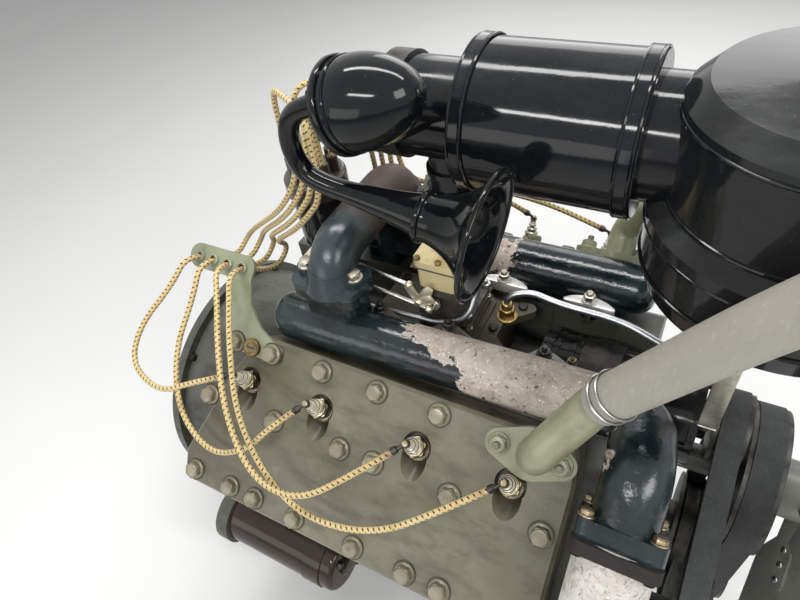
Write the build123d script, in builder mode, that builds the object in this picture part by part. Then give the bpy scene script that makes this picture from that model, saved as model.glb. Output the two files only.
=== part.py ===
from build123d import *
import os
from math import cos, radians, sin, sqrt, tan

os.makedirs("parts", exist_ok=True)

# A side-valve V8 motor-car engine with its ancillaries, in millimetres.
# X points forward to the fan, Y to the engine's left and Z up. The origin is where
# the crankshaft's axis meets the rear face of the bell housing.

# Cylinder blocks and crankcase
bore_pitch = 108.0
centre_gap = 128.0
middle_bore_x = 415.0
deck_height = 280.0
block_rear = 150.0
block_front = 680.0
deck_outer_up = -78.0
deck_inner_up = 142.0
bank_skirt_depth = 90.0
crankcase_half_width = 168.0
crankcase_shoulder = 55.0
pan_rail_half_width = 150.0
pan_rail_z = -50.0
valley_half_width = 62.0
valley_floor_z = 232.0

slope = sqrt(0.5)
shoulder_z = (deck_inner_up + deck_height) * slope
core_plug_r = 19.0
core_plug_depth = 3.0

# Cylinder heads
head_thickness = 55.0
head_face = deck_height + head_thickness
head_front = 648.0
head_chamfer = 4.0
plug_up = 76.0
plug_tilt = 18.0
plug_recess_r = 17.0
plug_recess_depth = 9.0
scallop_r = 15.0
scallop_tilt = 52.0
terminal_height = 48.0
clip_length = 16.0
clip_r = 2.2
bolt_hole_r = 5.5
bolt_hole_depth = 14.0
plug_thread_r = 7.0

# Bell housing, flywheel and sump
bell_r = 205.0
bell_flange = 14.0
bell_front_r = 168.0
bell_wall = 9.0
bell_bolt_circle = 388.0
bell_bolt_count = 10
flywheel_r = 165.0
flywheel_x = 28.0
flywheel_thickness = 34.0
ring_gear_teeth = 72
crank_stub_r = 30.0
running_clearance = 0.05
starter_y = -237.0
starter_z = -46.0
starter_r = 46.0
starter_length = 196.0
pan_flange_half_width = 162.0
pan_flange_thickness = 7.0
pan_half_width = 118.0
pan_deep_z = -240.0
pan_shallow_z = -150.0

# Front cover and belt drive
cover_thickness = 34.0
cover_lower_r = 112.0
cover_upper_r = 72.0
cover_upper_z = 112.0
belt_gap = 0.3
rear_belt_x = 774.0
rear_belt_width = 24.0
front_belt_x = 816.0
front_belt_width = 28.0
belt_thickness = 14.0
crank_pulley_r = 75.0
generator_pulley_r = 44.0
pump_pulley_r = 70.0
fan_pulley_r = 88.0
belt_bevel = 4.0
generator_z = valley_floor_z + 22
pump_up = -24.8
pump_out = deck_height - 22
pump_y = (pump_up - pump_out) * slope
pump_z = (pump_up + pump_out) * slope
fan_z = 176.0

# Fan
fan_r = 215.0
fan_x = 872.0
fan_blades = 4
fan_blade_thickness = 3.0
fan_blade_pitch = 28.0
fan_spindle_r = 10.0
fan_boss_r = 17.0

# Generator and water pump
generator_r = 56.0
generator_rear = 560.0
generator_front = 742.0
generator_play = 8.0
generator_shaft_r = 9.0
saddle_rear = 588.0
saddle_front = 668.0
pump_housing_r = 50.0
pump_neck_r = 25.0
pump_shaft_r = 9.0
pump_front = 757.0

# Exhaust system
manifold_y = 95.0
manifold_z = shoulder_z + 38.6
manifold_r = 30.0
manifold_end_r = 22.0
manifold_rear = 246.0
manifold_front = 636.0
foot_x = (300, 405, 510, 615)
foot_inner = 68.0
foot_outer = 97.0
lug_x = (380, 489, 596)
lug_inner = 61.2
lug_r = 13.0
lug_reach = 34.0
lug_height = 26.0
riser_x = 334.0
riser_y = 82.0
riser_top = shoulder_z + 110.6
riser_box = (72.0, 46.0)
riser_flange_size = (88.0, 54.0)
riser_flange_thickness = 12.0
riser_bolt_spacing = 65.0
crossover_r = 28.0
crossover_rise = 38.0
crossover_bend_r = 37.0
outlet_x = 698.0
outlet_y = 206.0
outlet_z = shoulder_z + 22.6
outlet_turn = 45.0
flange_thickness = 18.0
flange_length = 78.0
flange_width = 62.0
downpipe_r = 35.5
downpipe_bore_r = 30.0
downpipe_flange_thickness = 12.0

# Intake, carburettor and air silencer
intake_thickness = 12.0
pad_z = shoulder_z + intake_thickness
carburettor_x = 446.0
carburettor_base_z = pad_z + 6
throttle_body_height = 30.0
throttle_top = carburettor_base_z + throttle_body_height
bowl_rise = 77.0
bowl_top = throttle_top + bowl_rise
horn_top = bowl_top + 87
neck_x = 458.0
neck_r = 23.5
silencer_z = horn_top + 86
silencer_r = 66.0
silencer_rear = 485.0
silencer_front = 638.0
silencer_tail_r = 46.0
silencer_tail_x = 385.0
cleaner_x = 758.0
cleaner_y = -10.0
cleaner_r = 114.0
cleaner_drum_r = 102.0
cleaner_bottom_z = silencer_z - 132
cleaner_rim_z = silencer_z - 37
cleaner_top_z = silencer_z + 65
fuel_tube_r = 3.0
vacuum_tube_r = 4.0

# Horn
horn_y = -125.0
horn_motor_x = 431.0
horn_motor_z = silencer_z + 64
horn_motor_r = 35.0
horn_motor_tilt = 16.0
horn_bell_r = 55.0
horn_tube_r = 9.0
horn_cone_x = 415.0
horn_cone_z = silencer_z - 15
horn_droop = 7.0

# Ignition
distributor_x = 250.0
distributor_y = 30.0
distributor_cap_z = shoulder_z + 147.6
distributor_cap_r = 40.0
tower_circle_r = 27.0
tower_r = 6.5
tower_top = distributor_cap_z + 44
lead_r = 3.5
ferrule_r = 6.0
bracket_up = 214.0
bracket_thickness = 4.0
ferrule_rear = 126.0
ferrule_pitch = 23.7
left_tab_x = 342.0
left_tab_up = 174.0
left_hole_out = head_face + 17
left_hole_pitch = 10.0

# Cooling outlets and hoses
outlet_flange_x = 599.0
outlet_flange_up = 119.0
outlet_pipe_r = 18.0
outlet_neck = 46.0
outlet_bend_r = 26.0
outlet_step = Vector(43, 31, 70)
hose_r = 20.0
hose_bore_r = outlet_pipe_r + 0.3
hose_lean = 33.5
hose_straight = 200.0
hose_end_lean = 40.3
hose_end_length = 139.0

bore_x = [
    middle_bore_x - centre_gap / 2 - bore_pitch,
    middle_bore_x - centre_gap / 2,
    middle_bore_x + centre_gap / 2,
    middle_bore_x + centre_gap / 2 + bore_pitch,
]
pieces = {}


# Places on the right bank
# "up" is measured up the slope of the head from the bore line, "out" along the bore.
def bank_plane(out):
    return Plane(
        origin=(0, -out * slope, out * slope), x_dir=(1, 0, 0), z_dir=(0, -1, 1)
    )


def bank_point(x, up, out):
    return Vector(x, (up - out) * slope, (up + out) * slope)


def bank_section_point(up, out):
    return ((up - out) * slope, (up + out) * slope)


def cross_plane(x):
    return Plane(origin=(x, 0, 0), x_dir=(0, 1, 0), z_dir=(1, 0, 0))


def plug_seat(x):
    """The plane that a plug's shell sits on: it leans up the slope by plug_tilt."""
    lean = radians(plug_tilt)
    axis = Vector(0, (sin(lean) - cos(lean)) * slope, (sin(lean) + cos(lean)) * slope)
    origin = bank_point(x, plug_up, head_face - plug_recess_depth)
    return Plane(origin=origin, x_dir=(1, 0, 0), z_dir=axis)


def keep(name, piece):
    piece.label = name
    pieces[name] = piece


def keep_both_sides(name, piece):
    keep(name + "_right", piece)
    keep(name + "_left", mirror(piece, about=Plane.XZ))


def corner_radii(points, share=0.45):
    """One radius for each corner: 0.45 of the shorter run over the tangent of half the turn."""
    radii = []
    for before, corner, after in zip(points, points[1:], points[2:]):
        run_in = Vector(*corner) - Vector(*before)
        run_out = Vector(*after) - Vector(*corner)
        half_turn = radians(run_in.get_angle(run_out)) / 2
        radii.append(share * min(run_in.length, run_out.length) / tan(half_turn))
    return radii


def tube(points, radius, bore=0.0, radii=None):
    """A round tube along straight runs joined by tangent arcs."""
    with BuildLine() as path:
        if len(points) == 2:
            Line(*points)
        else:
            FilletPolyline(*points, radius=radii or corner_radii(points))
    start = Plane(origin=path.line @ 0, z_dir=path.line % 0)
    with BuildPart() as made:
        with BuildSketch(start):
            Circle(radius)
            if bore:
                Circle(bore, mode=Mode.SUBTRACT)
        sweep(path=path.line)
    return made.part


# Engine block: crankcase, two banks at a right angle and the valley between them
half_section = [
    (0, valley_floor_z),
    (-valley_half_width, valley_floor_z),
    (-valley_half_width, shoulder_z),
    bank_section_point(deck_inner_up, deck_height),
    bank_section_point(deck_outer_up, deck_height),
    bank_section_point(deck_outer_up, deck_height - bank_skirt_depth),
    (-crankcase_half_width, crankcase_shoulder),
    (-pan_rail_half_width, pan_rail_z),
    (0, pan_rail_z),
]
with BuildPart() as engine_block:
    with BuildSketch(cross_plane(block_rear)):
        with BuildLine():
            Polyline(*half_section)
            mirror(about=Plane.YZ)
        make_face()
    extrude(amount=block_front - block_rear)
    # The generator lies in a trough at the front of the valley
    with BuildSketch(cross_plane(generator_rear - generator_play)):
        with Locations((0, generator_z)):
            Circle(generator_r + generator_play)
        with Locations((0, generator_z + generator_r)):
            Rectangle(2 * (generator_r + generator_play), 2 * generator_r)
    extrude(amount=block_front - generator_rear + generator_play, mode=Mode.SUBTRACT)
    # Bearing bores for the crankshaft's two ends
    for bore_start, bore_way in ((block_rear, 1), (block_front, -1)):
        with BuildSketch(cross_plane(bore_start)):
            Circle(crank_stub_r + running_clearance)
        extrude(amount=bore_way * 40, mode=Mode.SUBTRACT)
    # Core plugs, seated a little below the outer wall of each bank
    for side in (-1, 1):
        wall_point = bank_section_point(deck_outer_up, deck_height - bank_skirt_depth / 2)
        wall = Plane(
            origin=(0, -side * wall_point[0], wall_point[1]), x_dir=(1, 0, 0), z_dir=(0, side, -1)
        )
        with BuildSketch(wall):
            with Locations(*[(x, 0) for x in bore_x]):
                Circle(core_plug_r)
        extrude(amount=-core_plug_depth, mode=Mode.SUBTRACT)
keep("engine_block", engine_block.part)

# Cylinder heads: flat-topped castings, cut away at the rear, with recessed plugs
head_outline = [
    (173, -76),
    (166, -40),
    (193, 29),
    (212, 84),
    (245, 139),
    (head_front - 6, 139),
    (head_front, 98),
    (head_front, -76),
]
# Head bolts on the right bank: place along the engine, then up the slope
bolt_rows = {
    "top": (122, (213, 269, 342, 417, 495)),
    "middle": (43, (188, 292, 388, 433, 528, 629)),
    "bottom": (-59, (190, 250, 289, 351, 434, 501, 543, 634)),
}
head_bolts = [(x, up) for up, row in bolt_rows.values() for x in row]
with BuildPart() as head:
    with BuildSketch(bank_plane(deck_height)) as head_sketch:
        with BuildLine():
            Polyline(*head_outline, close=True)
        make_face()
        fillet(head_sketch.vertices(), 9)
    extrude(amount=head_thickness)
    bank_axis = Axis(origin=(0, 0, 0), direction=(0, -1, 1))
    chamfer(head.faces().sort_by(bank_axis)[-1].edges(), head_chamfer)
    for x in bore_x:
        seat = plug_seat(x)
        # A round recess for the plug, with a scallop running down the slope from it
        with BuildSketch(seat):
            Circle(plug_recess_r)
        extrude(amount=30, mode=Mode.SUBTRACT)
        with BuildSketch(seat.rotated((scallop_tilt + plug_tilt, 0, 0))):
            Circle(scallop_r)
        extrude(amount=60, mode=Mode.SUBTRACT)
        with BuildSketch(seat):
            Circle(plug_thread_r)
        extrude(amount=-12, mode=Mode.SUBTRACT)
    with BuildSketch(bank_plane(head_face)):
        with Locations(*head_bolts):
            Circle(bolt_hole_r)
    extrude(amount=-bolt_hole_depth, mode=Mode.SUBTRACT)
keep_both_sides("head", head.part)


# Bell housing: a cone from its wide rear flange to the block, open at the rear
with BuildPart() as bell_hollow:
    with BuildSketch(cross_plane(0)):
        Circle(bell_r - 14 - bell_wall)
    with BuildSketch(cross_plane(block_rear - 14)):
        Circle(bell_front_r - bell_wall)
    loft(ruled=True)
with BuildPart() as bell_flange_ring:
    with BuildSketch(cross_plane(0)):
        Circle(bell_r)
        with PolarLocations(bell_bolt_circle / 2, bell_bolt_count, start_angle=18):
            Circle(5.5, mode=Mode.SUBTRACT)
    extrude(amount=bell_flange)
    add(bell_hollow.part, mode=Mode.SUBTRACT)
keep("bell_flange", bell_flange_ring.part)
with BuildPart() as bell_housing:
    with BuildSketch(cross_plane(bell_flange)):
        Circle(bell_r - 14)
    with BuildSketch(cross_plane(block_rear)):
        Circle(bell_front_r)
    loft(ruled=True)
    # Pad on the right side for the starter motor
    with BuildSketch(cross_plane(block_rear)):
        with Locations((starter_y, starter_z)):
            Circle(starter_r + 6)
        with Locations((-120, -30)):
            Circle(40)
        make_hull()
    extrude(amount=-22)
    add(bell_hollow.part, mode=Mode.SUBTRACT)
    with BuildSketch(cross_plane(block_rear)):
        Circle(crank_stub_r + 12)
    extrude(amount=-20, mode=Mode.SUBTRACT)
keep("bell_housing", bell_housing.part)

# Flywheel with its ring gear, on the crankshaft's rear stub
with BuildPart() as flywheel:
    with BuildSketch(cross_plane(flywheel_x)):
        Circle(flywheel_r)
        with PolarLocations(flywheel_r, ring_gear_teeth):
            Rectangle(9, 7.2, mode=Mode.SUBTRACT)
        Circle(14, mode=Mode.SUBTRACT)
    extrude(amount=flywheel_thickness)
    with BuildSketch(cross_plane(flywheel_x)):
        Circle(120)
        Circle(60, mode=Mode.SUBTRACT)
    extrude(amount=10, mode=Mode.SUBTRACT)
    with BuildSketch(cross_plane(flywheel_x + flywheel_thickness)):
        Circle(crank_stub_r)
    extrude(amount=block_rear + 30 - flywheel_x - flywheel_thickness)
keep("flywheel", flywheel.part)

# Sump: a flat flange, a shallow front and a deep rear pan
pan_front = block_front
pan_rear = block_rear + 4
pan_top = pan_rail_z - pan_flange_thickness
with BuildPart() as oil_pan:
    with BuildSketch(Plane.XY.offset(pan_top)):
        with Locations(((pan_rear + pan_front) / 2, 0)):
            Rectangle(pan_front - pan_rear, 2 * pan_flange_half_width)
    extrude(amount=pan_flange_thickness)
    pan_side = Plane(origin=(0, pan_half_width, 0), x_dir=(1, 0, 0), z_dir=(0, -1, 0))
    with BuildSketch(pan_side) as pan_profile:
        with BuildLine():
            Polyline(
                (pan_rear + 10, pan_top),
                (pan_rear + 22, pan_deep_z),
                (pan_rear + 262, pan_deep_z),
                (pan_rear + 350, pan_shallow_z),
                (pan_front - 24, pan_shallow_z),
                (pan_front - 12, pan_top),
                close=True,
            )
        make_face()
        fillet(pan_profile.vertices().sort_by(Axis.Y)[:4], 22)
    extrude(amount=2 * pan_half_width)
    # Drain plug boss under the deep end
    with BuildSketch(Plane.XY.offset(pan_deep_z)):
        with Locations((pan_rear + 120, 0)):
            Circle(16)
    extrude(amount=-8)
keep("oil_pan", oil_pan.part)

# Front cover over the timing drive, with the crankshaft's seal boss
cover_front = block_front + cover_thickness
with BuildPart() as front_cover:
    with BuildSketch(cross_plane(block_front)):
        Circle(cover_lower_r)
        with Locations((0, cover_upper_z)):
            Circle(cover_upper_r)
        make_hull()
    extrude(amount=cover_thickness)
    fillet(front_cover.faces().sort_by(Axis.X)[-1].edges(), 8)
    with BuildSketch(cross_plane(cover_front)):
        Circle(58)
    extrude(amount=22)
    with BuildSketch(cross_plane(block_front)):
        Circle(crank_stub_r + running_clearance)
    extrude(amount=cover_thickness + 22, mode=Mode.SUBTRACT)
keep("front_cover", front_cover.part)


# Belts and pulleys
def belt_loop(centre_x, width, wheels):
    """A V-belt round its wheels: the wheels are (y, z, outer radius of the belt)."""
    with BuildPart() as belt:
        with BuildSketch(cross_plane(centre_x - width / 2)):
            for shrink, way in ((0, Mode.ADD), (belt_thickness, Mode.SUBTRACT)):
                with BuildSketch(mode=way):
                    for y, z, r in wheels:
                        with Locations((y, z)):
                            Circle(r - shrink)
                    make_hull()
        extrude(amount=width)
        inner = belt.faces().sort_by(Axis.X)[-1].inner_wires()[0].edges()
        inner += belt.faces().sort_by(Axis.X)[0].inner_wires()[0].edges()
        chamfer(inner, belt_bevel)
    return belt.part


def pulley(front_x, back_x, groove_x, width, rim_r, belt_r):
    """A grooved wheel round the X axis: its rim wall stands a little below the belt."""
    bottom_r = belt_r - belt_thickness - belt_gap
    half = width / 2 + belt_gap
    with BuildPart() as wheel:
        with BuildSketch(Plane.XZ):
            with BuildLine():
                Polyline(
                    (back_x, 0),
                    (back_x, rim_r),
                    (groove_x - half, rim_r),
                    (groove_x - half, bottom_r + belt_bevel),
                    (groove_x - half + belt_bevel, bottom_r),
                    (groove_x + half - belt_bevel, bottom_r),
                    (groove_x + half, bottom_r + belt_bevel),
                    (groove_x + half, rim_r),
                    (front_x, rim_r),
                    (front_x, 0),
                    close=True,
                )
            make_face()
        revolve(axis=Axis.X)
    return wheel.part


rear_wheels = [
    (0, 0, crank_pulley_r),
    (0, generator_z, generator_pulley_r),
    (pump_y, pump_z, pump_pulley_r),
]
front_wheels = [(0, 0, crank_pulley_r), (0, fan_z, fan_pulley_r)]
keep("belt_rear", belt_loop(rear_belt_x, rear_belt_width, rear_wheels))
keep("belt_front", belt_loop(front_belt_x, front_belt_width, front_wheels))
rim_margin = 3.0
rear_belt_back = rear_belt_x - rear_belt_width / 2
rear_belt_front = rear_belt_x + rear_belt_width / 2
front_belt_back = front_belt_x - front_belt_width / 2
front_belt_front = front_belt_x + front_belt_width / 2
rim_wall = 5.0
belt_stand = 2.0

# Crankshaft pulley: two grooves, a starting jaw and the shaft's front stub
with BuildPart() as crank_pulley:
    add(pulley(rear_belt_front + rim_wall, rear_belt_back - rim_wall, rear_belt_x, rear_belt_width,
               crank_pulley_r - belt_stand, crank_pulley_r))
    add(pulley(front_belt_front + rim_wall, front_belt_back - rim_wall, front_belt_x, front_belt_width,
               crank_pulley_r - belt_stand, crank_pulley_r))
    with BuildSketch(cross_plane(block_front - 30)):
        Circle(crank_stub_r)
    extrude(amount=front_belt_front + 30 - block_front)
    with BuildSketch(cross_plane(front_belt_front + rim_wall)):
        Circle(24)
        Circle(12, mode=Mode.SUBTRACT)
        Rectangle(60, 9, mode=Mode.SUBTRACT)
    extrude(amount=9)
keep("crank_pulley", crank_pulley.part)


def placed(piece, y, z):
    return piece.moved(Location((0, y, z)))


# Generator: a long cylinder in the valley with end plates, and its pulley
with BuildPart() as generator:
    with BuildSketch(cross_plane(generator_rear)):
        with Locations((0, generator_z)):
            Circle(generator_r - 3)
    extrude(amount=generator_front - generator_rear)
    for start, length in ((generator_rear, 12), (generator_front - 30, 30)):
        with BuildSketch(cross_plane(start)):
            with Locations((0, generator_z)):
                Circle(generator_r)
        extrude(amount=length)
    with BuildSketch(cross_plane(generator_front)):
        with Locations((0, generator_z)):
            Circle(22)
    extrude(amount=10)
    with BuildSketch(cross_plane(generator_front + 10)):
        with Locations((0, generator_z)):
            Circle(generator_shaft_r + running_clearance)
    extrude(amount=-60, mode=Mode.SUBTRACT)
    # Cooling windows round the front end plate
    with BuildSketch(cross_plane(generator_front - 8)):
        with Locations((0, generator_z)):
            with PolarLocations(generator_r, 6, start_angle=30):
                Rectangle(12, 26)
    extrude(amount=-16, mode=Mode.SUBTRACT)
keep("generator", generator.part)

# Generator saddle: a cast cradle in the trough with a steel strap over the top
with BuildPart() as generator_saddle:
    with BuildSketch(cross_plane(saddle_rear)):
        with Locations((0, generator_z)):
            Circle(generator_r + generator_play)
            Circle(generator_r - 3, mode=Mode.SUBTRACT)
        with Locations((0, generator_z + 60)):
            Rectangle(200, 180, mode=Mode.SUBTRACT)
    extrude(amount=saddle_front - saddle_rear)
    with BuildSketch(cross_plane(saddle_rear + 18)):
        with Locations((0, generator_z)):
            Circle(generator_r)
            Circle(generator_r - 3, mode=Mode.SUBTRACT)
    extrude(amount=saddle_front - saddle_rear - 36)
keep("generator_saddle", generator_saddle.part)
with BuildPart() as generator_pulley:
    add(placed(pulley(rear_belt_front + rim_wall, rear_belt_back - rim_wall, rear_belt_x, rear_belt_width,
                      generator_pulley_r - belt_stand, generator_pulley_r), 0, generator_z))
    with BuildSketch(cross_plane(generator_front - 40)):
        with Locations((0, generator_z)):
            Circle(generator_shaft_r)
    extrude(amount=rear_belt_back - generator_front + 40)
keep("generator_pulley", generator_pulley.part)

# Water pump on the front face of the right bank, with its pulley
with BuildPart() as water_pump:
    with BuildSketch(cross_plane(block_front)):
        with Locations((pump_y, pump_z)):
            Circle(pump_housing_r)
        with Locations((pump_y + 40, pump_z - 46)):
            Circle(26)
        make_hull()
    extrude(amount=34)
    fillet(water_pump.faces().sort_by(Axis.X)[-1].edges(), 7)
    with BuildSketch(cross_plane(block_front + 30)):
        with Locations((pump_y, pump_z)):
            Circle(pump_neck_r)
    extrude(amount=pump_front - block_front - 30)
    with BuildSketch(cross_plane(pump_front)):
        with Locations((pump_y, pump_z)):
            Circle(pump_shaft_r + running_clearance)
    extrude(amount=-60, mode=Mode.SUBTRACT)
keep("water_pump", water_pump.part)
with BuildPart() as pump_pulley:
    add(placed(pulley(rear_belt_front + rim_wall, rear_belt_back - rim_wall, rear_belt_x, rear_belt_width,
                      pump_pulley_r - belt_stand, pump_pulley_r), pump_y, pump_z))
    with BuildSketch(cross_plane(pump_front - 40)):
        with Locations((pump_y, pump_z)):
            Circle(pump_shaft_r)
    extrude(amount=rear_belt_back - pump_front + 40)
keep("pump_pulley", pump_pulley.part)

# Fan bracket: an arm on the front cover that carries the fan's fixed spindle
fan_hub_back = front_belt_back - rim_wall
with BuildPart() as fan_bracket:
    with BuildSketch(cross_plane(cover_front)):
        with Locations((0, fan_z - 50)):
            Circle(34)
        with Locations((0, fan_z)):
            Circle(fan_boss_r)
        make_hull()
    extrude(amount=20)
    with BuildSketch(cross_plane(cover_front + 12)):
        with Locations((0, fan_z)):
            Circle(fan_boss_r)
    extrude(amount=fan_hub_back - 1 - cover_front - 12)
    with BuildSketch(cross_plane(fan_hub_back - 1)):
        with Locations((0, fan_z)):
            Circle(fan_spindle_r)
    extrude(amount=fan_x + 14 - fan_hub_back)
keep("fan_bracket", fan_bracket.part)
with BuildPart() as fan_pulley:
    add(placed(pulley(front_belt_front + rim_wall, fan_hub_back, front_belt_x, front_belt_width,
                      fan_pulley_r - belt_stand, fan_pulley_r), 0, fan_z))
    with BuildSketch(cross_plane(fan_hub_back)):
        with Locations((0, fan_z)):
            Circle(fan_spindle_r + running_clearance)
    extrude(amount=front_belt_width + 2 * rim_wall, mode=Mode.SUBTRACT)
keep("fan_pulley", fan_pulley.part)

# Fan: pitched blades with rounded tips on a hub and its four-armed spider
fan_hub_back = front_belt_front + rim_wall
fan_hub_front = fan_x + 16
with BuildPart() as fan:
    with BuildSketch(cross_plane(fan_hub_back)):
        with Locations((0, fan_z)):
            Circle(34)
            Circle(fan_spindle_r + running_clearance, mode=Mode.SUBTRACT)
    extrude(amount=fan_hub_front - fan_hub_back)
    for turn in range(fan_blades):
        around = radians(turn * 360 / fan_blades + 45)
        pitch = radians(fan_blade_pitch)
        radial = Vector(0, sin(around), cos(around))
        tangent = Vector(0, cos(around), -sin(around))
        chord = tangent * cos(pitch) + Vector(1, 0, 0) * sin(pitch)
        blade = Plane(origin=(fan_x, 0, fan_z), x_dir=radial, z_dir=radial.cross(chord))
        with BuildSketch(blade):
            with BuildLine():
                Polyline(
                    (fan_r - 22, 50),
                    (88, 48),
                    (62, 20),
                    (26, 16),
                    (26, -16),
                    (62, -20),
                    (88, -42),
                    (fan_r - 22, -50),
                )
                ThreePointArc((fan_r - 22, -50), (fan_r, 0), (fan_r - 22, 50))
            make_face()
        extrude(amount=fan_blade_thickness / 2, both=True)
        # A spider arm backs each blade
        with BuildSketch(blade):
            with Locations((72, 0)):
                SlotOverall(92, 22)
        extrude(amount=fan_blade_thickness * 1.6, both=True)
keep("fan", fan.part)

# Exhaust manifolds: a log pipe over each bank, on four feet that stand on the block
turn = radians(outlet_turn)
outlet_way = Vector(0, -sin(turn), -cos(turn))
outlet_centre = Vector(outlet_x, -outlet_y, outlet_z)
outlet_plane = Plane(origin=outlet_centre, x_dir=(1, 0, 0), z_dir=outlet_way)
elbow_end = outlet_centre - outlet_way * flange_thickness
elbow_top = elbow_end - outlet_way * 46
log_rear = (manifold_rear, -manifold_y, manifold_z)
log_front = (manifold_front, -manifold_y, manifold_z)
elbow_route = [
    log_rear,
    (elbow_top.X - 8, -manifold_y, manifold_z + 19),
    tuple(elbow_top),
    tuple(elbow_end + outlet_way),
]
elbow_radii = corner_radii([log_front, *elbow_route[1:]])


def log_manifold(front_elbow):
    with BuildPart() as manifold:
        if front_elbow:
            add(tube(elbow_route, manifold_r, radii=elbow_radii))
            ends = manifold.faces().filter_by(GeomType.PLANE).sort_by(Axis.X)[:1]
        else:
            add(tube([log_rear, (manifold_front + manifold_r, -manifold_y, manifold_z)], manifold_r))
            ends = manifold.faces().filter_by(GeomType.PLANE)
        fillet([edge for end in ends for edge in end.edges()], manifold_end_r)
        # Feet down to the ports, and lugs with a web that runs forward into the log
        for x in foot_x:
            with BuildSketch(Plane.XY.offset(shoulder_z)):
                with Locations((x, -(foot_inner + foot_outer) / 2)):
                    RectangleRounded(52, foot_outer - foot_inner, 8)
            extrude(amount=manifold_z - shoulder_z)
        for x in lug_x:
            with BuildSketch(Plane.XY.offset(shoulder_z)):
                with Locations((x, -lug_inner - lug_r)):
                    Circle(lug_r)
                with Locations((x + lug_reach, -manifold_y + 6)):
                    Circle(5)
                make_hull()
            extrude(amount=lug_height)
        # Rear riser: a box with rounded corners under a rectangular flange
        with BuildSketch(Plane.XY.offset(manifold_z)):
            with Locations((riser_x, -riser_y)):
                RectangleRounded(*riser_box, 14)
        extrude(amount=riser_top - manifold_z)
        with BuildSketch(Plane.XY.offset(riser_top - riser_flange_thickness)):
            with Locations((riser_x, -riser_y)):
                RectangleRounded(*riser_flange_size, 14)
        extrude(amount=riser_flange_thickness)
    return manifold.part


with BuildPart() as exhaust_manifold_right:
    add(log_manifold(True))
    with BuildSketch(outlet_plane.offset(-flange_thickness)):
        RectangleRounded(flange_length, flange_width, 12)
    extrude(amount=flange_thickness)
keep("exhaust_manifold_right", exhaust_manifold_right.part)
keep("exhaust_manifold_left", mirror(log_manifold(False), about=Plane.XZ))

# Crossover pipe between the risers, arched over the valley, with a tall boss at each bolt
crossover_z = riser_top + crossover_rise
crossover_route = [
    (riser_x + 3, -riser_y, riser_top),
    (riser_x + 3, -riser_y, crossover_z),
    (riser_x + 3, riser_y, crossover_z),
    (riser_x + 3, riser_y, riser_top),
]
with BuildPart() as crossover_pipe:
    add(tube(crossover_route, crossover_r, radii=[crossover_bend_r, crossover_bend_r]))
    for side in (-1, 1):
        with BuildSketch(Plane.XY.offset(riser_top)):
            with Locations((riser_x, side * riser_y)):
                RectangleRounded(*riser_flange_size, 14)
        extrude(amount=8)
        with BuildSketch(Plane.XY.offset(riser_top)):
            with Locations((riser_x + 3, side * riser_y)):
                Circle(crossover_r + 7)
        extrude(amount=24, taper=20)
        with BuildSketch(Plane.XY.offset(riser_top)):
            for way in (-1, 1):
                with Locations((riser_x + way * riser_bolt_spacing / 2, side * riser_y)):
                    Circle(11.5)
        extrude(amount=15)
keep("crossover_pipe", crossover_pipe.part)

# Wrapped exhaust downpipe under the front outlet, in its own flange
downpipe_side = 112.0
downpipe_points = [
    tuple(outlet_centre),
    tuple(outlet_centre + outlet_way * 140),
    tuple(outlet_centre + Vector(-20, -downpipe_side, -211)),
    tuple(outlet_centre + Vector(-110, -downpipe_side, -331)),
    tuple(outlet_centre + Vector(-250, -downpipe_side, -371)),
]
keep("exhaust_downpipe", tube(downpipe_points, downpipe_r, bore=downpipe_bore_r))
with BuildPart() as downpipe_flange:
    with BuildSketch(outlet_plane):
        RectangleRounded(flange_length, flange_width + 14, 12)
        Circle(downpipe_r, mode=Mode.SUBTRACT)
    extrude(amount=downpipe_flange_thickness)
keep("downpipe_flange", downpipe_flange.part)

# Intake manifold: a plate over the valley with pointed lobes and a pad for the carburettor
plate_outline = [
    (344, -52),
    (452, -50),
    (530, -52),
    (540, -44),
    (506, -14),
    (506, 14),
    (540, 44),
    (530, 52),
    (452, 50),
    (344, 52),
]
with BuildPart() as intake_manifold:
    with BuildSketch(Plane.XY.offset(shoulder_z)) as intake_sketch:
        with BuildLine():
            Polyline(*plate_outline, close=True)
        make_face()
        fillet(intake_sketch.vertices(), 7)
    extrude(amount=intake_thickness)
    with BuildSketch(Plane.XY.offset(pad_z)):
        with Locations((carburettor_x, 0)):
            RectangleRounded(82, 84, 12)
    extrude(amount=carburettor_base_z - pad_z)
    # The underside fills the valley down to its floor
    with BuildSketch(Plane.XY.offset(valley_floor_z)):
        with Locations((430, 0)):
            Rectangle(150, 2 * valley_half_width - 24)
    extrude(amount=shoulder_z - valley_floor_z)
keep("intake_manifold", intake_manifold.part)

# Bridge clamps: lens-shaped aluminium bars on the left manifold's lugs, each with a stud
clamp_z = shoulder_z + lug_height
clamp_y = 57.0
clamp_x = (489, 596)
clamp_half_length = 31.0
clamp_half_width = 8.0
with BuildPart() as manifold_clamps:
    for x in clamp_x:
        ends = ((x - clamp_half_length, clamp_y), (x + clamp_half_length, clamp_y))
        with BuildSketch(Plane.XY.offset(clamp_z)):
            with BuildLine():
                for way in (-1, 1):
                    ThreePointArc(ends[0], (x, clamp_y + way * clamp_half_width), ends[1])
            make_face()
        extrude(amount=10)
        with BuildSketch(Plane.XY.offset(clamp_z)):
            with Locations((x, clamp_y)):
                Circle(clamp_half_width)
        extrude(amount=14)
        with BuildSketch(Plane.XY.offset(shoulder_z)):
            with Locations((x, clamp_y)):
                Circle(4)
        extrude(amount=clamp_z - shoulder_z + 24)
keep("manifold_clamps", manifold_clamps.part)

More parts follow.
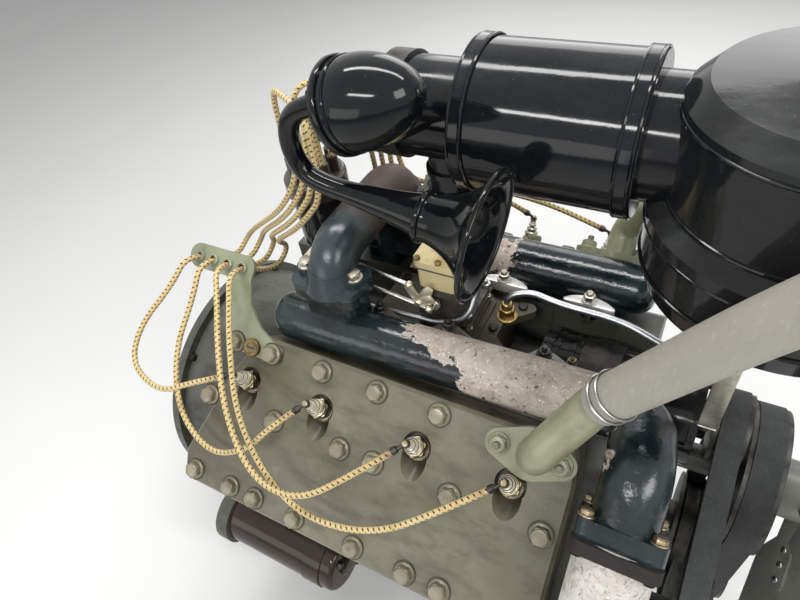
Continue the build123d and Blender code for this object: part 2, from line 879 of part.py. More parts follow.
# Carburettor: throttle body between two square flanges, float bowl and air horn
with BuildPart() as throttle_body:
    for z, size, height in (
        (carburettor_base_z, 70, 9),
        (carburettor_base_z + 9, 54, throttle_body_height - 17),
        (throttle_top - 8, 70, 8),
    ):
        with BuildSketch(Plane.XY.offset(z)):
            with Locations((carburettor_x, 0)):
                RectangleRounded(size, size, 9)
        extrude(amount=height)
keep("throttle_body", throttle_body.part)
with BuildPart() as carburettor:
    with BuildSketch(Plane.XY.offset(throttle_top)):
        with Locations((carburettor_x, 0)):
            RectangleRounded(52, 60, 12)
    extrude(amount=bowl_rise * 0.55)
    with BuildSketch(Plane.XY.offset(throttle_top + bowl_rise * 0.45)):
        with Locations((carburettor_x, 0)):
            RectangleRounded(50, 80, 8)
    extrude(amount=bowl_rise * 0.55)
    with BuildSketch(Plane.XY.offset(bowl_top)):
        with Locations((carburettor_x + 2, 0)):
            RectangleRounded(60, 86, 10)
    extrude(amount=9)
    with BuildSketch(Plane.XY.offset(bowl_top)):
        with Locations((neck_x, 0)):
            Circle(25)
    extrude(amount=horn_top - bowl_top)
keep("carburettor", carburettor.part)

# Air silencer with its neck, and the oil-bath cleaner at its front end
with BuildPart() as air_silencer:
    with BuildSketch(cross_plane(silencer_rear)):
        with Locations((0, silencer_z)):
            Circle(silencer_r)
    extrude(amount=silencer_front - silencer_rear)
    rear_edge = air_silencer.faces().sort_by(Axis.X)[0].edges()
    fillet(rear_edge, 8)
    with BuildSketch(cross_plane(silencer_tail_x)):
        with Locations((0, silencer_z)):
            Circle(silencer_tail_r)
    extrude(amount=silencer_rear + 10 - silencer_tail_x)
    tail_edge = air_silencer.faces().sort_by(Axis.X)[0].edges()
    fillet(tail_edge, 16)
    with BuildSketch(cross_plane(silencer_front)):
        with Locations((0, silencer_z)):
            Circle(silencer_r - 14)
    extrude(amount=30)
    # Two rolled bands round the drum, a folded seam below it and two beads on the neck
    for band_x in (silencer_rear + 8, silencer_front - 8):
        with BuildSketch(cross_plane(band_x - 4)):
            with Locations((0, silencer_z)):
                Circle(silencer_r + 2.5)
        extrude(amount=8)
    with BuildSketch(Plane.XY.offset(silencer_z - silencer_r - 5)):
        with Locations(((silencer_rear + silencer_front) / 2 + 4, 0)):
            Rectangle(silencer_front - silencer_rear - 24, 3)
    extrude(amount=10)
    with BuildSketch(Plane.XY.offset(horn_top)):
        with Locations((neck_x, 0)):
            Circle(neck_r)
    extrude(amount=silencer_z - horn_top)
    for bead_z in (horn_top, horn_top + 22):
        with BuildSketch(Plane.XY.offset(bead_z)):
            with Locations((neck_x, 0)):
                Circle(neck_r + 3)
        extrude(amount=6)
keep("air_silencer", air_silencer.part)
with BuildPart() as oil_bath_cleaner:
    with BuildSketch(Plane.XZ):
        with BuildLine():
            Polyline(
                (0, cleaner_bottom_z),
                (cleaner_r - 34, cleaner_bottom_z),
                (cleaner_r - 8, cleaner_bottom_z + 24),
                (cleaner_r - 2, cleaner_bottom_z + 50),
                (cleaner_r - 2, cleaner_rim_z - 12),
                (cleaner_r, cleaner_rim_z - 10),
                (cleaner_r, cleaner_rim_z),
                (cleaner_drum_r, cleaner_rim_z + 10),
                (cleaner_drum_r, cleaner_top_z - 14),
                (cleaner_drum_r - 14, cleaner_top_z),
                (0, cleaner_top_z + 6),
                close=True,
            )
        make_face()
    revolve(axis=Axis.Z)
cleaner = oil_bath_cleaner.part.moved(Location((cleaner_x, cleaner_y, 0)))
with BuildPart() as cleaner_body:
    add(cleaner)
    with BuildSketch(cross_plane(silencer_front)):
        with Locations((0, silencer_z)):
            Circle(silencer_r - 14)
    extrude(amount=30, mode=Mode.SUBTRACT)
keep("oil_bath_cleaner", cleaner_body.part)

# Horn: a domed motor, and a tube that loops back, widens into a cone and flares
horn_tilt = radians(horn_motor_tilt)
horn_seat = Vector(
    horn_motor_x - 6 * sin(horn_tilt), horn_y, horn_motor_z + 6 * cos(horn_tilt)
)
horn_out = Vector(-cos(horn_tilt), 0, -sin(horn_tilt))
droop = radians(horn_droop)
horn_route = [
    tuple(horn_seat),
    tuple(horn_seat + horn_out * 34),
    (horn_cone_x - 41, horn_y, horn_cone_z + 44),
    (horn_cone_x - 27, horn_y, horn_cone_z + 27 * tan(droop)),
    (horn_cone_x + 2, horn_y, horn_cone_z - 2 * tan(droop)),
]
with BuildPart() as horn_motor:
    with BuildSketch(Plane.XZ):
        with BuildLine():
            Polyline((73, 6), (73, 0), (0, 0), (0, horn_motor_r), (16, horn_motor_r))
            ThreePointArc((16, horn_motor_r), (45, 30.3), (64.7, 19))
            ThreePointArc((64.7, 19), (70, 12.8), (73, 6))
        make_face()
    revolve(axis=Axis.X)
motor = horn_motor.part.moved(Location((horn_motor_x, horn_y, horn_motor_z), (0, -horn_motor_tilt, 0)))
keep("horn_motor", motor)
cone_length = 75.0
mouth_x = 132.0
with BuildPart() as trumpet_flare:
    with BuildSketch(Plane.XZ):
        with BuildLine():
            Polyline(
                (60, 0),
                (0, 0),
                (0, horn_tube_r),
                (cone_length, 19),
                (cone_length, 22),
                (cone_length + 5, 22),
                (cone_length + 5, 20),
            )
            ThreePointArc((cone_length + 5, 20), (110, 30.5), (mouth_x - 2, horn_bell_r))
            Polyline((mouth_x - 2, horn_bell_r), (mouth_x, horn_bell_r), (mouth_x, horn_bell_r - 3))
            ThreePointArc((mouth_x, horn_bell_r - 3), (112, 28), (cone_length + 6, 17.5))
            Polyline((cone_length + 6, 17.5), (60, 14.5), (60, 0))
        make_face()
    revolve(axis=Axis.X)
with BuildPart() as horn_trumpet:
    add(tube(horn_route, horn_tube_r))
    add(trumpet_flare.part.moved(Location((horn_cone_x, horn_y, horn_cone_z), (0, horn_droop, 0))))
keep("horn_trumpet", horn_trumpet.part)

# Horn bracket: a band round the silencer's tail and a strap under the motor
horn_band_x = 402.0
horn_band_width = 22.0
horn_strap_front = 458.0
with BuildPart() as horn_bracket:
    with BuildSketch(cross_plane(horn_band_x)):
        with Locations((0, silencer_z)):
            Circle(silencer_tail_r + 3.5)
    extrude(amount=horn_band_width)
    with BuildSketch(cross_plane(horn_band_x)):
        with BuildLine():
            Polyline(
                (-40, silencer_z + 3),
                (horn_y, silencer_z + 30),
                (horn_y, silencer_z + 36),
                (-40, silencer_z + 10),
                close=True,
            )
        make_face()
    extrude(amount=horn_strap_front - horn_band_x)
    with BuildSketch(cross_plane(horn_band_x)):
        with Locations((0, silencer_z)):
            Circle(silencer_tail_r)
    extrude(amount=horn_strap_front - horn_band_x, mode=Mode.SUBTRACT)
    add(motor, mode=Mode.SUBTRACT)
keep("horn_bracket", horn_bracket.part)

# Distributor: a stem from the valley, the bowl and the cap with its nine towers
def towers(first, last):
    """Places of the outer towers, counted round the cap from the left front."""
    places = []
    for k in range(first, last):
        around = radians(22.5 + 45 * k)
        places.append(
            (distributor_x + tower_circle_r * cos(around), distributor_y + tower_circle_r * sin(around))
        )
    return places


bowl_height = 74.0
with BuildPart() as distributor:
    for z, r, height in (
        (valley_floor_z, 28, 12),
        (valley_floor_z + 12, 19, distributor_cap_z - valley_floor_z - 12),
        (distributor_cap_z - bowl_height, distributor_cap_r - 4, bowl_height),
    ):
        with BuildSketch(Plane.XY.offset(z)):
            with Locations((distributor_x, distributor_y)):
                Circle(r)
        extrude(amount=height)
keep("distributor", distributor.part)
with BuildPart() as distributor_cap:
    with BuildSketch(Plane.XY.offset(distributor_cap_z)):
        with Locations((distributor_x, distributor_y)):
            Circle(distributor_cap_r)
    extrude(amount=24)
    fillet(distributor_cap.faces().sort_by(Axis.Z)[-1].edges(), 6)
    with BuildSketch(Plane.XY.offset(distributor_cap_z + 16)):
        with Locations((distributor_x, distributor_y), *towers(0, 8)):
            Circle(tower_r)
    extrude(amount=tower_top - distributor_cap_z - 16)
keep("distributor_cap", distributor_cap.part)

# Right lead bracket: a plate bolted to the head, with four ferrules for the leads
ferrule_x = [ferrule_rear + ferrule_pitch * k for k in range(4)]
with BuildPart() as lead_bracket:
    with BuildSketch(bank_plane(head_face)) as bracket_sketch:
        with BuildLine():
            Polyline(
                (200, 112),
                (276, 112),
                (282, 130),
                (244, 148),
                (222, 172),
                (214, 200),
                (214, 214),
                (170, 214),
                (178, 190),
                (190, 168),
                (196, 140),
                close=True,
            )
        make_face()
        fillet(bracket_sketch.vertices(), 5)
        with Locations(((ferrule_x[0] + ferrule_x[-1]) / 2, bracket_up)):
            SlotCenterToCenter(ferrule_x[-1] - ferrule_x[0] + 4, 32)
        with Locations(*[(x, bracket_up) for x in ferrule_x]):
            Circle(lead_r + 0.5, mode=Mode.SUBTRACT)
        with Locations((213, 122), (269, 122)):
            Circle(bolt_hole_r, mode=Mode.SUBTRACT)
    extrude(amount=bracket_thickness)
    with BuildSketch(bank_plane(head_face - 3)):
        with Locations(*[(x, bracket_up) for x in ferrule_x]):
            Circle(ferrule_r + 1.5)
            Circle(lead_r + 0.5, mode=Mode.SUBTRACT)
    extrude(amount=bracket_thickness + 6)
keep("lead_bracket_right", lead_bracket.part)

# Left lead bracket: a foot under two head bolts and a tab with a hole for each lead
left_hole_outs = [left_hole_out + left_hole_pitch * k for k in range(4)]
tab_thickness = 3.5
with BuildPart() as left_bracket:
    with BuildSketch(bank_plane(head_face)):
        with Locations((379.5, 123.5)):
            RectangleRounded(99, 31, 8)
        with Locations((342, 122), (417, 122)):
            Circle(bolt_hole_r, mode=Mode.SUBTRACT)
    extrude(amount=bracket_thickness)
    with BuildSketch(bank_plane(head_face + bracket_thickness)):
        with Locations((left_tab_x + 15, (130 + left_tab_up + 11) / 2)):
            Rectangle(30, left_tab_up + 11 - 130)
    extrude(amount=tab_thickness)
    # The tab stands on the strip, square to the leads that run forward through it
    tab_bottom = head_face + bracket_thickness
    tab_height = left_hole_outs[-1] + 9 - tab_bottom
    with BuildSketch(bank_plane(tab_bottom)):
        with Locations((left_tab_x + tab_thickness / 2, left_tab_up)):
            Rectangle(tab_thickness, 22)
    extrude(amount=tab_height)
    for out in left_hole_outs:
        hole = Plane(origin=bank_point(left_tab_x, left_tab_up, out), z_dir=(1, 0, 0))
        with BuildSketch(hole):
            Circle(lead_r + 0.5)
        extrude(amount=tab_thickness, mode=Mode.SUBTRACT)
keep("lead_bracket_left", mirror(left_bracket.part, about=Plane.XZ))


# Spark-plug leads, as places along the engine, up the slope and out from the head
def tip_of(x):
    seat = plug_seat(x)
    return seat.origin + seat.z_dir * terminal_height


def to_left(point):
    return Vector(point.X, -point.Y, point.Z)


lead_turns_right = [
    [(112, 169, 29), (74, 105, 31), (79, 53, 37), (146, 37, 47), (186, 62, 43)],
    [(153, 164, 31), (140, 90, 29), (163, 18, 27), (227, -17, 29), (284, 8, 33), (314, 48, 37)],
    [
        (196, 172, 37),
        (225, 123, 53),
        (260, 54, 59),
        (317, -4, 61),
        (383, -9, 61),
        (435, 37, 53),
    ],
    [
        (217, 172, 39),
        (242, 128, 53),
        (272, 52, 51),
        (330, -6, 47),
        (396, -28, 45),
        (474, -13, 43),
        (535, 37, 42),
    ],
]
lead_turns_left = [
    [(376, 174, 17), (428, 158, 27), (432, 100, 33), (392, 50, 35), (322, 42, 37), (284, 62, 39)],
    [(376, 174, 27), (410, 156, 33), (412, 118, 39)],
    [(376, 174, 37), (420, 158, 49), (448, 124, 49)],
    [(376, 174, 47), (440, 160, 57), (500, 128, 55), (545, 104, 47)],
]
bundle_centres = [(296, -36, 502), (280, -42, 476), (250, -43, 444), (200, -34, 406)]
bundle_spread = Vector(-0.80, 0.15, 0.58)
bundle_pitches = [13.0, 11.0, 10.0, 10.0]
bundle_lift = distributor_cap_z - 446.0
ferrule_behind = 75.0
ferrule_front = 29.0


def lead_ends(route, x, mirrored):
    """The route's last point: short of the plug's tip by the clip's length."""
    tip = to_left(tip_of(x)) if mirrored else tip_of(x)
    back = (Vector(*route[-1]) - tip).normalized()
    return tip, tip + back * clip_length


def over_the_top(tower_x, tower_y, crest):
    """Straight up out of the tower, then across to the crest, by a middle point if it is far."""
    top = Vector(tower_x, tower_y, crest.Z)
    route = [Vector(tower_x, tower_y, tower_top), top]
    if (crest - top).length > 100:
        route.append((top + crest) * 0.5 + Vector(0, 0, 6))
    return [*route, crest]


lead_routes = {}
clips = {"right": [], "left": []}
# The lead of the nearest tower but one has the farthest way to go, so it crosses on top
right_towers = towers(5, 8) + towers(4, 5)
for k, x in enumerate(bore_x):
    tower_x, tower_y = right_towers[k]
    bundle = [
        Vector(*centre) + bundle_spread * (pitch * (1.5 - k)) + Vector(0, 0, bundle_lift)
        for centre, pitch in zip(bundle_centres, bundle_pitches)
    ]
    crest_z = distributor_cap_z + 110 + 9 * k
    crest = Vector(bundle[0].X + 6, bundle[0].Y + 4, crest_z)
    route = over_the_top(tower_x, tower_y, crest)
    route += bundle
    route.append(bank_point(ferrule_x[k] + 16, bracket_up + 46, head_face - ferrule_behind - 2))
    route.append(bank_point(ferrule_x[k], bracket_up, head_face - ferrule_behind))
    route.append(bank_point(ferrule_x[k], bracket_up, head_face + ferrule_front))
    route += [bank_point(along, up, head_face + out) for along, up, out in lead_turns_right[k]]
    tip, end = lead_ends(route, x, False)
    clips["right"].append((tip, end))
    lead_routes[f"plug_lead_right_{k + 1}"] = [*route, end]
left_towers = towers(0, 3)[::-1] + towers(3, 4)
for k, x in enumerate(bore_x):
    tower_x, tower_y = left_towers[k]
    out = left_hole_outs[k]
    column_x = 275 + 9 * k
    crest_z = distributor_cap_z + 92 + 9 * k
    corner = to_left(bank_point(column_x, left_tab_up, out))
    crest = Vector(column_x, corner.Y - 22, crest_z)
    route = over_the_top(tower_x, tower_y, crest)
    route += [(crest + corner) * 0.5 + Vector(3, 6, 0), corner]
    turns = lead_turns_left[k]
    route += [to_left(bank_point(along, up, head_face + rise)) for along, up, rise in turns]
    tip, end = lead_ends(route, x, True)
    clips["left"].append((tip, end))
    lead_routes[f"plug_lead_left_{k + 1}"] = [*route, end]
for name, route in lead_routes.items():
    points = [tuple(point) for point in route]
    radii = corner_radii(points)
    print(name, "bend radii", [round(r) for r in radii], "length", round(sum(
        (b - a).length for a, b in zip(route, route[1:]))))
    keep(name, tube(points, lead_r, radii=radii))

# Spark plugs: shell, hexagon, insulator and terminal on one axis, and the lead's clip
plug_profile = [
    (0, -12),
    (6.6, -12),
    (6.6, 0),
    (13, 0),
    (13, 5),
    (10, 5),
    (10, 18),
    (7.5, 20),
    (7, 28),
    (4.6, 42),
    (3.2, 43),
    (3.2, 51),
    (0, 51),
]


def spark_plugs(side):
    plugs = []
    for x, (tip, end) in zip(bore_x, clips[side]):
        with BuildPart() as plug:
            with BuildSketch(Plane.XZ):
                with BuildLine():
                    Polyline(*plug_profile, close=True)
                make_face()
            revolve(axis=Axis.Z)
            with BuildSketch(Plane.XY.offset(5)):
                RegularPolygon(13, 6)
            extrude(amount=11)
        seat = plug_seat(x)
        placed_plug = seat.location * plug.part
        if side == "left":
            placed_plug = mirror(placed_plug, about=Plane.XZ)
        with BuildPart() as finished:
            add(placed_plug)
            with BuildSketch(Plane(origin=tip, z_dir=end - tip)):
                Circle(clip_r)
            extrude(amount=clip_length)
        plugs.append(finished.part)
    return Compound(children=plugs)


for side in ("right", "left"):
    keep(f"spark_plugs_{side}", spark_plugs(side))

# Water outlets: a two-bolt flange and an elbow on each head, and the hoses
outlet_seat = bank_plane(head_face)
pipe_x = outlet_flange_x + 8
pipe_up = outlet_flange_up + 6
pipe_foot = bank_point(pipe_x, pipe_up, head_face + 8)
pipe_bend = bank_point(pipe_x, pipe_up, head_face + outlet_neck)
hose_way = Vector(sin(radians(hose_lean)), 0, cos(radians(hose_lean)))
hose_end_way = Vector(sin(radians(hose_end_lean)), 0, cos(radians(hose_end_lean)))
pipe_turn = pipe_bend + outlet_step
pipe_end = pipe_turn + hose_way * 32
hose_corner = pipe_turn + hose_way * hose_straight
hose_end = hose_corner + hose_end_way * hose_end_length
with BuildPart() as water_outlet:
    with BuildSketch(outlet_seat):
        with Locations((outlet_flange_x - 32, outlet_flange_up), (outlet_flange_x + 32, outlet_flange_up)):
            Circle(15)
        with Locations((outlet_flange_x, outlet_flange_up)):
            Circle(27)
        make_hull()
    extrude(amount=10)
    pipe_points = [tuple(pipe_foot), tuple(pipe_bend), tuple(pipe_turn), tuple(pipe_end)]
    add(tube(pipe_points, outlet_pipe_r, radii=[outlet_bend_r, outlet_bend_r + 4]))
keep_both_sides("water_outlet", water_outlet.part)
hose_points = [tuple(pipe_turn + hose_way * 9), tuple(hose_corner), tuple(hose_end)]
radiator_hose = tube(hose_points, hose_r, bore=hose_bore_r)
keep_both_sides("radiator_hose", radiator_hose)

# Steel tubes: the fuel line to the float bowl and the vacuum line from the intake plate
fuel_route = [
    (300, -46, shoulder_z + 40),
    (350, -48, shoulder_z + 42),
    (452, -49, shoulder_z + 50),
    (486, -46, shoulder_z + 68),
    (492, -24, bowl_top - 15),
    (carburettor_x + 25, -24, bowl_top - 15),
]
keep("fuel_line", tube(fuel_route, fuel_tube_r))
vacuum_route = [
    (506, 22, pad_z),
    (506, 22, shoulder_z + 48),
    (532, 32, shoulder_z + 54),
    (570, 27, shoulder_z + 51),
    (640, 25, shoulder_z + 52),
    (690, 14, shoulder_z + 42),
]
with BuildPart() as vacuum_line:
    add(tube(vacuum_route, vacuum_tube_r))
    with BuildSketch(Plane.XY.offset(pad_z)):
        with Locations((506, 22)):
            RegularPolygon(8.5, 6)
    extrude(amount=14)
keep("vacuum_line", vacuum_line.part)

# Starter motor beside the crankcase, with its switch on top and its end band
with BuildPart() as starter:
    with BuildSketch(cross_plane(block_rear)):
        with Locations((starter_y, starter_z)):
            Circle(starter_r)
    extrude(amount=starter_length)
    fillet(starter.faces().sort_by(Axis.X)[-1].edges(), 8)
    with BuildSketch(cross_plane(block_rear + starter_length - 52)):
        with Locations((starter_y, starter_z)):
            Circle(starter_r + 2)
    extrude(amount=30)
    with BuildSketch(cross_plane(block_rear + 24)):
        with Locations((starter_y + 10, starter_z + starter_r + 18)):
            Circle(22)
        with Locations((starter_y + 10, starter_z + starter_r - 6)):
            Rectangle(30, 30)
    extrude(amount=84)
keep("starter", starter.part)

# Engine mounts: a cast foot bolted to each side of the crankcase
mount_rear = 575.0
mount_front = 635.0
mount_foot_y = 240.0
mount_hole_r = 7.0


def crankcase_side(z):
    share = (z - pan_rail_z) / (crankcase_shoulder - pan_rail_z)
    return -(pan_rail_half_width + (crankcase_half_width - pan_rail_half_width) * share)


with BuildPart() as engine_mount:
    with BuildSketch(cross_plane(mount_rear)):
        with BuildLine():
            Polyline(
                (crankcase_side(40), 40),
                (-mount_foot_y, 12),
                (-mount_foot_y, 0),
                (-188, 0),
                (crankcase_side(-32), -32),
                close=True,
            )
        make_face()
    extrude(amount=mount_front - mount_rear)
    # A pocket between two webs, and the hole for the rubber's stud
    with BuildSketch(cross_plane(mount_rear + 10)):
        with BuildLine():
            Polyline((-182, 60), (-mount_foot_y - 1, 60), (-mount_foot_y - 1, 10), (-182, 10), close=True)
        make_face()
    extrude(amount=mount_front - mount_rear - 20, mode=Mode.SUBTRACT)
    with BuildSketch(Plane.XY):
        with Locations(((mount_rear + mount_front) / 2, -mount_foot_y + 24)):
            Circle(mount_hole_r)
    extrude(amount=20, mode=Mode.SUBTRACT)
keep_both_sides("engine_mount", engine_mount.part)

for name, piece in pieces.items():
    piece.label = name
    print(name, round(piece.volume), piece.is_valid)
    export_step(piece, f"parts/{name}.step")
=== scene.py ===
# %% [markdown]
# # A side-valve V8 motor-car engine
# The castings, pipes, pulleys and pans come ready shaped from the CAD model, and they are
# never moved. This lesson gives them their finishes and adds what a fitter would add last:
# cotton-braided plug leads, spark plugs, bolts and nuts, clips, clamps, rods and gaskets.
# X points forward to the fan, Y to the engine's left and Z up, all in metres.

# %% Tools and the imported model
from math import cos, pi, radians, sin, sqrt

import bmesh
import bpy
from mathutils import Matrix, Vector


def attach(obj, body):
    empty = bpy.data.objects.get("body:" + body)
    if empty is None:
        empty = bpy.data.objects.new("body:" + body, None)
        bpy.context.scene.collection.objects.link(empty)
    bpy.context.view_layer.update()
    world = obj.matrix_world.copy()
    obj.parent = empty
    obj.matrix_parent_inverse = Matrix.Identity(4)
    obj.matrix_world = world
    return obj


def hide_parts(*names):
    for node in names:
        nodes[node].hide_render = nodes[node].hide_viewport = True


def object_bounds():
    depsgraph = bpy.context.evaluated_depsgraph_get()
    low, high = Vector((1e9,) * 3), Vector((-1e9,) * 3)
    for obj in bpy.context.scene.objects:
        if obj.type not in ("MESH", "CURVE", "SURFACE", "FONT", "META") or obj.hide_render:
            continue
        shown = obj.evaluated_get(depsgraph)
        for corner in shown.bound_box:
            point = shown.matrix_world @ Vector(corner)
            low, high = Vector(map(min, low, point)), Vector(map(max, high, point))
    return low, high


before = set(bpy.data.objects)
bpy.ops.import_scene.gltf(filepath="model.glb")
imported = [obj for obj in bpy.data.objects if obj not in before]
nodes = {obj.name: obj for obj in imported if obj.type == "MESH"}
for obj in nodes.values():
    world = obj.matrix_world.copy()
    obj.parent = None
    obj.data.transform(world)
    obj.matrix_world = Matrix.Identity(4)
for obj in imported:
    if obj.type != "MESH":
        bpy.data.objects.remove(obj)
cad_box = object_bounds()
print(len(nodes), "CAD nodes between", [round(v, 3) for v in cad_box[0]], "and",
      [round(v, 3) for v in cad_box[1]])

# %% [markdown]
# ## Places on the engine
# Drawings of an engine are in millimetres, so places are written in millimetres here and
# turned into metres once. The two cylinder banks lean out at 45 degrees. On a bank it is
# simplest to say how far along the engine a thing is, how far up the slope and how far out.
# A small part is made standing on the origin, and a matrix carries it to its place.

# %% Places in millimetres
forward = Vector((1, 0, 0))
leftward = Vector((0, 1, 0))
rightward = Vector((0, -1, 0))
upward = Vector((0, 0, 1))
slope = sqrt(0.5)
outward = Vector((0, -slope, slope))
down_the_bank = Vector((0, -slope, -slope))
head_top = 335
shoulder = 298.4


def mm(x, y, z):
    """A place in metres from its millimetres."""
    return Vector((x, y, z)) / 1000


def at(x, y, z):
    """The matrix that carries a part to a place in millimetres."""
    return Matrix.Translation(mm(x, y, z))


def bank(x, up, out):
    """A place on the right bank: along the engine, up the slope and out from its axis."""
    return mm(x, (up - out) * slope, (up + out) * slope)


def other_side(point):
    return Vector((point.x, -point.y, point.z))


def facing(origin, way, along=forward):
    """A frame at origin in metres: its Z looks along way, and its X keeps near along."""
    z = way.normalized()
    x = (along - z * along.dot(z)).normalized()
    turn = Matrix((x, z.cross(x), z)).transposed().to_4x4()
    return Matrix.Translation(origin) @ turn


def spun(place, degrees):
    """The place turned about its own Z axis."""
    return place @ Matrix.Rotation(radians(degrees), 4, "Z")


mirror_y = Matrix.Diagonal((1, -1, 1, 1))
banks = {"right": Matrix.Identity(4), "left": mirror_y}
lengthwise = Matrix.Rotation(pi / 2, 4, "Y")
upside_down = Matrix.Rotation(pi, 4, "X")
print("right bank's face at the second cylinder:", [round(v, 3) for v in bank(351, 0, head_top)])

# %% [markdown]
# ## Camera
# The photograph was taken from close by, to the right of the engine's front, looking down
# at the bank. The camera's three axes are given by their directions, because a wide lens so
# close to the engine shows every degree of error. They are made square to each other first.

# %% Camera
camera = bpy.data.objects.new("camera", bpy.data.cameras.new("camera"))
bpy.context.scene.collection.objects.link(camera)
camera_back = Vector((0.4104, -0.5776, 0.7049)).normalized()
camera_right = Vector((0.8755, 0.4646, -0.1289))
camera_right = (camera_right - camera_back * camera_right.dot(camera_back)).normalized()
camera_up = camera_back.cross(camera_right)
camera_turn = Matrix((camera_right, camera_up, camera_back)).transposed().to_4x4()
camera.matrix_world = at(692, -461, 871) @ camera_turn
camera.data.lens = 27.0
camera.data.sensor_width = 36.0
camera.data.clip_start = 0.02
bpy.context.scene.camera = camera
print("camera", [round(v, 3) for v in camera.location], "lens", camera.data.lens)

# %% [markdown]
# ## A finish is a small recipe of nodes
# Every finish below is painted the same way: clouds of noise choose between a few colours,
# finer noise roughens the surface, and a bump gives the grain of the casting or the cloth.
# `Finish` only saves typing. Sizes are in millimetres on the object, and positions are read
# from Object coordinates, so a pattern stays on its piece from any side.

# %% The finish helper
class Finish:
    """A material under construction. Each method adds a node and returns its output."""

    def __init__(self, name, roughness=0.5, metallic=0.0, coat=0.0, coat_roughness=0.06, mirror=0.5):
        self.material = bpy.data.materials.new(name)
        self.material.use_nodes = True
        self.tree = self.material.node_tree
        self.shader = self.tree.nodes["Principled BSDF"]
        for socket, value in (("Roughness", roughness), ("Metallic", metallic), ("Coat Weight", coat),
                              ("Coat Roughness", coat_roughness), ("Specular IOR Level", mirror)):
            self.shader.inputs[socket].default_value = value
        self.place = self.add("ShaderNodeTexCoord").outputs["Object"]

    def add(self, kind, **settings):
        node = self.tree.nodes.new(kind)
        for key, value in settings.items():
            setattr(node, key, value)
        return node

    def feed(self, socket, value):
        if isinstance(value, bpy.types.NodeSocket):
            self.tree.links.new(value, socket)
        elif isinstance(value, tuple) and len(value) == 3 and socket.type == "RGBA":
            socket.default_value = (*value, 1.0)
        else:
            socket.default_value = value

    def noise(self, size, detail=4.0, rough=0.55, place=None, bend=0.0):
        node = self.add("ShaderNodeTexNoise")
        self.feed(node.inputs["Vector"], place or self.place)
        self.feed(node.inputs["Scale"], 1000.0 / size)
        self.feed(node.inputs["Detail"], detail)
        self.feed(node.inputs["Roughness"], rough)
        self.feed(node.inputs["Distortion"], bend)
        return node.outputs["Fac"]

    def stretch(self, x=1.0, y=1.0, z=1.0, turn=(0, 0, 0)):
        """The place with each axis scaled, so that noise draws streaks along the small one."""
        node = self.add("ShaderNodeMapping")
        self.feed(node.inputs["Vector"], self.place)
        node.inputs["Scale"].default_value = (x, y, z)
        node.inputs["Rotation"].default_value = [radians(angle) for angle in turn]
        return node.outputs["Vector"]

    def axis(self, letter, place=None):
        node = self.add("ShaderNodeSeparateXYZ")
        self.feed(node.inputs[0], place or self.place)
        return node.outputs[letter]

    def maths(self, operation, a, b=0.0, c=0.0):
        node = self.add("ShaderNodeMath", operation=operation)
        for socket, value in zip(node.inputs, (a, b, c)):
            self.feed(socket, value)
        return node.outputs[0]

    def times(self, a, b):
        return self.maths("MULTIPLY", a, b)

    def plus(self, a, b):
        return self.maths("ADD", a, b)

    def minus(self, a, b):
        return self.maths("SUBTRACT", a, b)

    def band(self, value, low, high):
        """0 below low, 1 above high and a smooth step between; low above high turns it."""
        node = self.add("ShaderNodeMapRange", interpolation_type="SMOOTHSTEP")
        self.feed(node.inputs["Value"], value)
        self.feed(node.inputs["From Min"], min(low, high))
        self.feed(node.inputs["From Max"], max(low, high))
        self.feed(node.inputs["To Min"], 0.0 if low < high else 1.0)
        self.feed(node.inputs["To Max"], 1.0 if low < high else 0.0)
        return node.outputs["Result"]

    def blend(self, share, a, b):
        node = self.add("ShaderNodeMix", data_type="RGBA")
        self.feed(node.inputs[0], share)
        self.feed(node.inputs[6], a)
        self.feed(node.inputs[7], b)
        return node.outputs[2]

    def stain(self, colour, mask, strength, tone):
        """The colour with a tone laid over it where the mask is 1, as strongly as asked."""
        return self.blend(self.times(mask, strength), colour, tone)

    def colour(self, value):
        self.feed(self.shader.inputs["Base Color"], value)

    def rough(self, share, low, high):
        node = self.add("ShaderNodeMapRange")
        self.feed(node.inputs["Value"], share)
        self.feed(node.inputs["To Min"], low)
        self.feed(node.inputs["To Max"], high)
        self.feed(self.shader.inputs["Roughness"], node.outputs["Result"])

    def bump(self, *layers):
        """Each layer is (height from 0 to 1, depth in millimetres)."""
        normal = None
        for height, depth in layers:
            node = self.add("ShaderNodeBump")
            self.feed(node.inputs["Height"], height)
            self.feed(node.inputs["Distance"], depth / 1000)
            if normal:
                self.feed(node.inputs["Normal"], normal)
            normal = node.outputs["Normal"]
        self.feed(self.shader.inputs["Normal"], normal)


def shade(base, factor):
    return tuple(min(1.0, part * factor) for part in base)


print("the finish helper is ready")

# %% [markdown]
# ## Floor, world and light
# A plain pale floor catches the shadow. Gloss-black enamel has hardly any colour of its
# own, so it is lit by what it mirrors: a long narrow lamp overhead and one at the side draw
# the bright bands along the silencer, and three broad lamps fill the rest. The world is
# white to the camera and to mirror rays only, so the light on the engine stays at a plain
# level.

# %% Floor
floor_radius = 7.0
floor_gap = 0.0005
floor_finish = Finish("floor", roughness=0.7)
floor_finish.colour(floor_finish.blend(floor_finish.noise(400), (0.80, 0.80, 0.79), (0.85, 0.85, 0.84)))
floor_finish.bump((floor_finish.noise(6), 0.2))
disc = bmesh.new()
bmesh.ops.create_circle(disc, cap_ends=True, segments=96, radius=floor_radius)
bmesh.ops.translate(disc, verts=disc.verts, vec=(0.4, 0, cad_box[0][2] - floor_gap))
floor_mesh = bpy.data.meshes.new("floor")
disc.to_mesh(floor_mesh)
disc.free()
floor = bpy.data.objects.new("floor", floor_mesh)
bpy.context.scene.collection.objects.link(floor)
floor_mesh.materials.append(floor_finish.material)
print("floor at", round(cad_box[0][2], 3))

